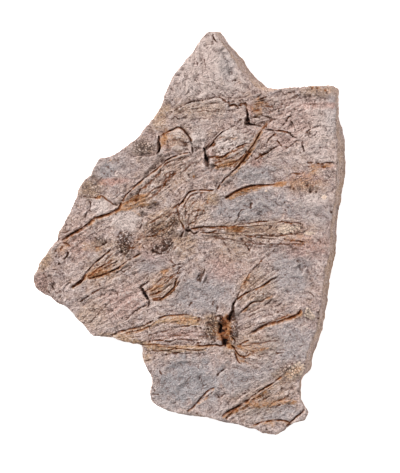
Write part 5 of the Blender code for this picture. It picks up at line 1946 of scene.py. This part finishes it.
def lit_table():
    """The floor's pale material, which glows a little."""
    tree = Tree("floor")
    tree.put(tree.shader.inputs["Base Color"], srgb(FLOOR_COLOUR))
    tree.put(tree.shader.inputs["Roughness"], 0.9)
    tree.put(tree.shader.inputs["Emission Color"], (1, 1, 1, 1))
    tree.put(tree.shader.inputs["Emission Strength"], FLOOR_GLOW)
    return tree.material


# ---------------------------------------------------------------- camera, floor and light

IMAGE = (400, 473)
IMAGE_UNIT = 0.5 * MM  # what one pixel of the image spans on the plate
CAMERA_DISTANCE = 5.0
CAMERA_TILT = math.radians(12)
SENSOR = 36.0
FLOOR_REACH = 6.0
# Each light's strength, how far its rays spread (in degrees) and the way it comes from
SUNS = {
    "key": (4.5, 10, (-0.8, 0.85, 0.9)),
    "fill": (0.5, 60, (1.0, 0.1, 0.45)),
}
ROOM_GLOW = 0.4


def placed(obj):
    bpy.context.scene.collection.objects.link(obj)
    return obj


def make_camera():
    """Looks down on the face from above, leaning a little to the right so that the right side shows."""
    back = Vector((math.sin(CAMERA_TILT), 0, math.cos(CAMERA_TILT)))
    right = Vector((math.cos(CAMERA_TILT), 0, -math.sin(CAMERA_TILT)))
    up = Vector((0, 1, 0))
    middle = (IMAGE[0] / 2 - CHART_CENTRE[0], CHART_CENTRE[1] - IMAGE[1] / 2)
    aim = Vector((0, 0, THICKNESS)) + (right * middle[0] + up * middle[1]) * IMAGE_UNIT
    data = bpy.data.cameras.new("camera")
    data.sensor_width = SENSOR
    data.lens = SENSOR * CAMERA_DISTANCE / (IMAGE[1] * IMAGE_UNIT)
    data.clip_end = 4 * CAMERA_DISTANCE
    camera = placed(bpy.data.objects.new("camera", data))
    turn = Matrix((right, up, back)).transposed().to_4x4()
    camera.matrix_world = Matrix.Translation(aim + back * CAMERA_DISTANCE) @ turn
    bpy.context.scene.camera = camera


def make_floor():
    corners = [(x * FLOOR_REACH, y * FLOOR_REACH, 0) for x, y in ((-1, -1), (1, -1), (1, 1), (-1, 1))]
    mesh = bpy.data.meshes.new("floor")
    mesh.from_pydata(corners, [], [(0, 1, 2, 3)])
    mesh.materials.append(lit_table())
    placed(bpy.data.objects.new("floor", mesh))


def make_light():
    """One light from the upper left, a weak wide one from the right and a pale room."""
    for name, (strength, spread, way) in SUNS.items():
        data = bpy.data.lights.new(name, "SUN")
        data.energy = strength
        data.angle = math.radians(spread)
        sun = placed(bpy.data.objects.new(name, data))
        sun.rotation_euler = Vector(way).to_track_quat("Z", "Y").to_euler()
    world = bpy.data.worlds.new("room")
    world.use_nodes = True
    background = world.node_tree.nodes["Background"]
    background.inputs["Color"].default_value = (1, 1, 1, 1)
    background.inputs["Strength"].default_value = ROOM_GLOW
    bpy.context.scene.world = world
    bpy.context.scene.view_settings.view_transform = "Standard"


def main():
    make_camera()
    make_floor()
    make_light()
    mesh = slab_skin()
    mesh.materials.append(siltstone())
    skin = placed(bpy.data.objects.new("fossil_slab_skin", mesh))
    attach(skin, "root")
    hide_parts("fossil_slab")


main()
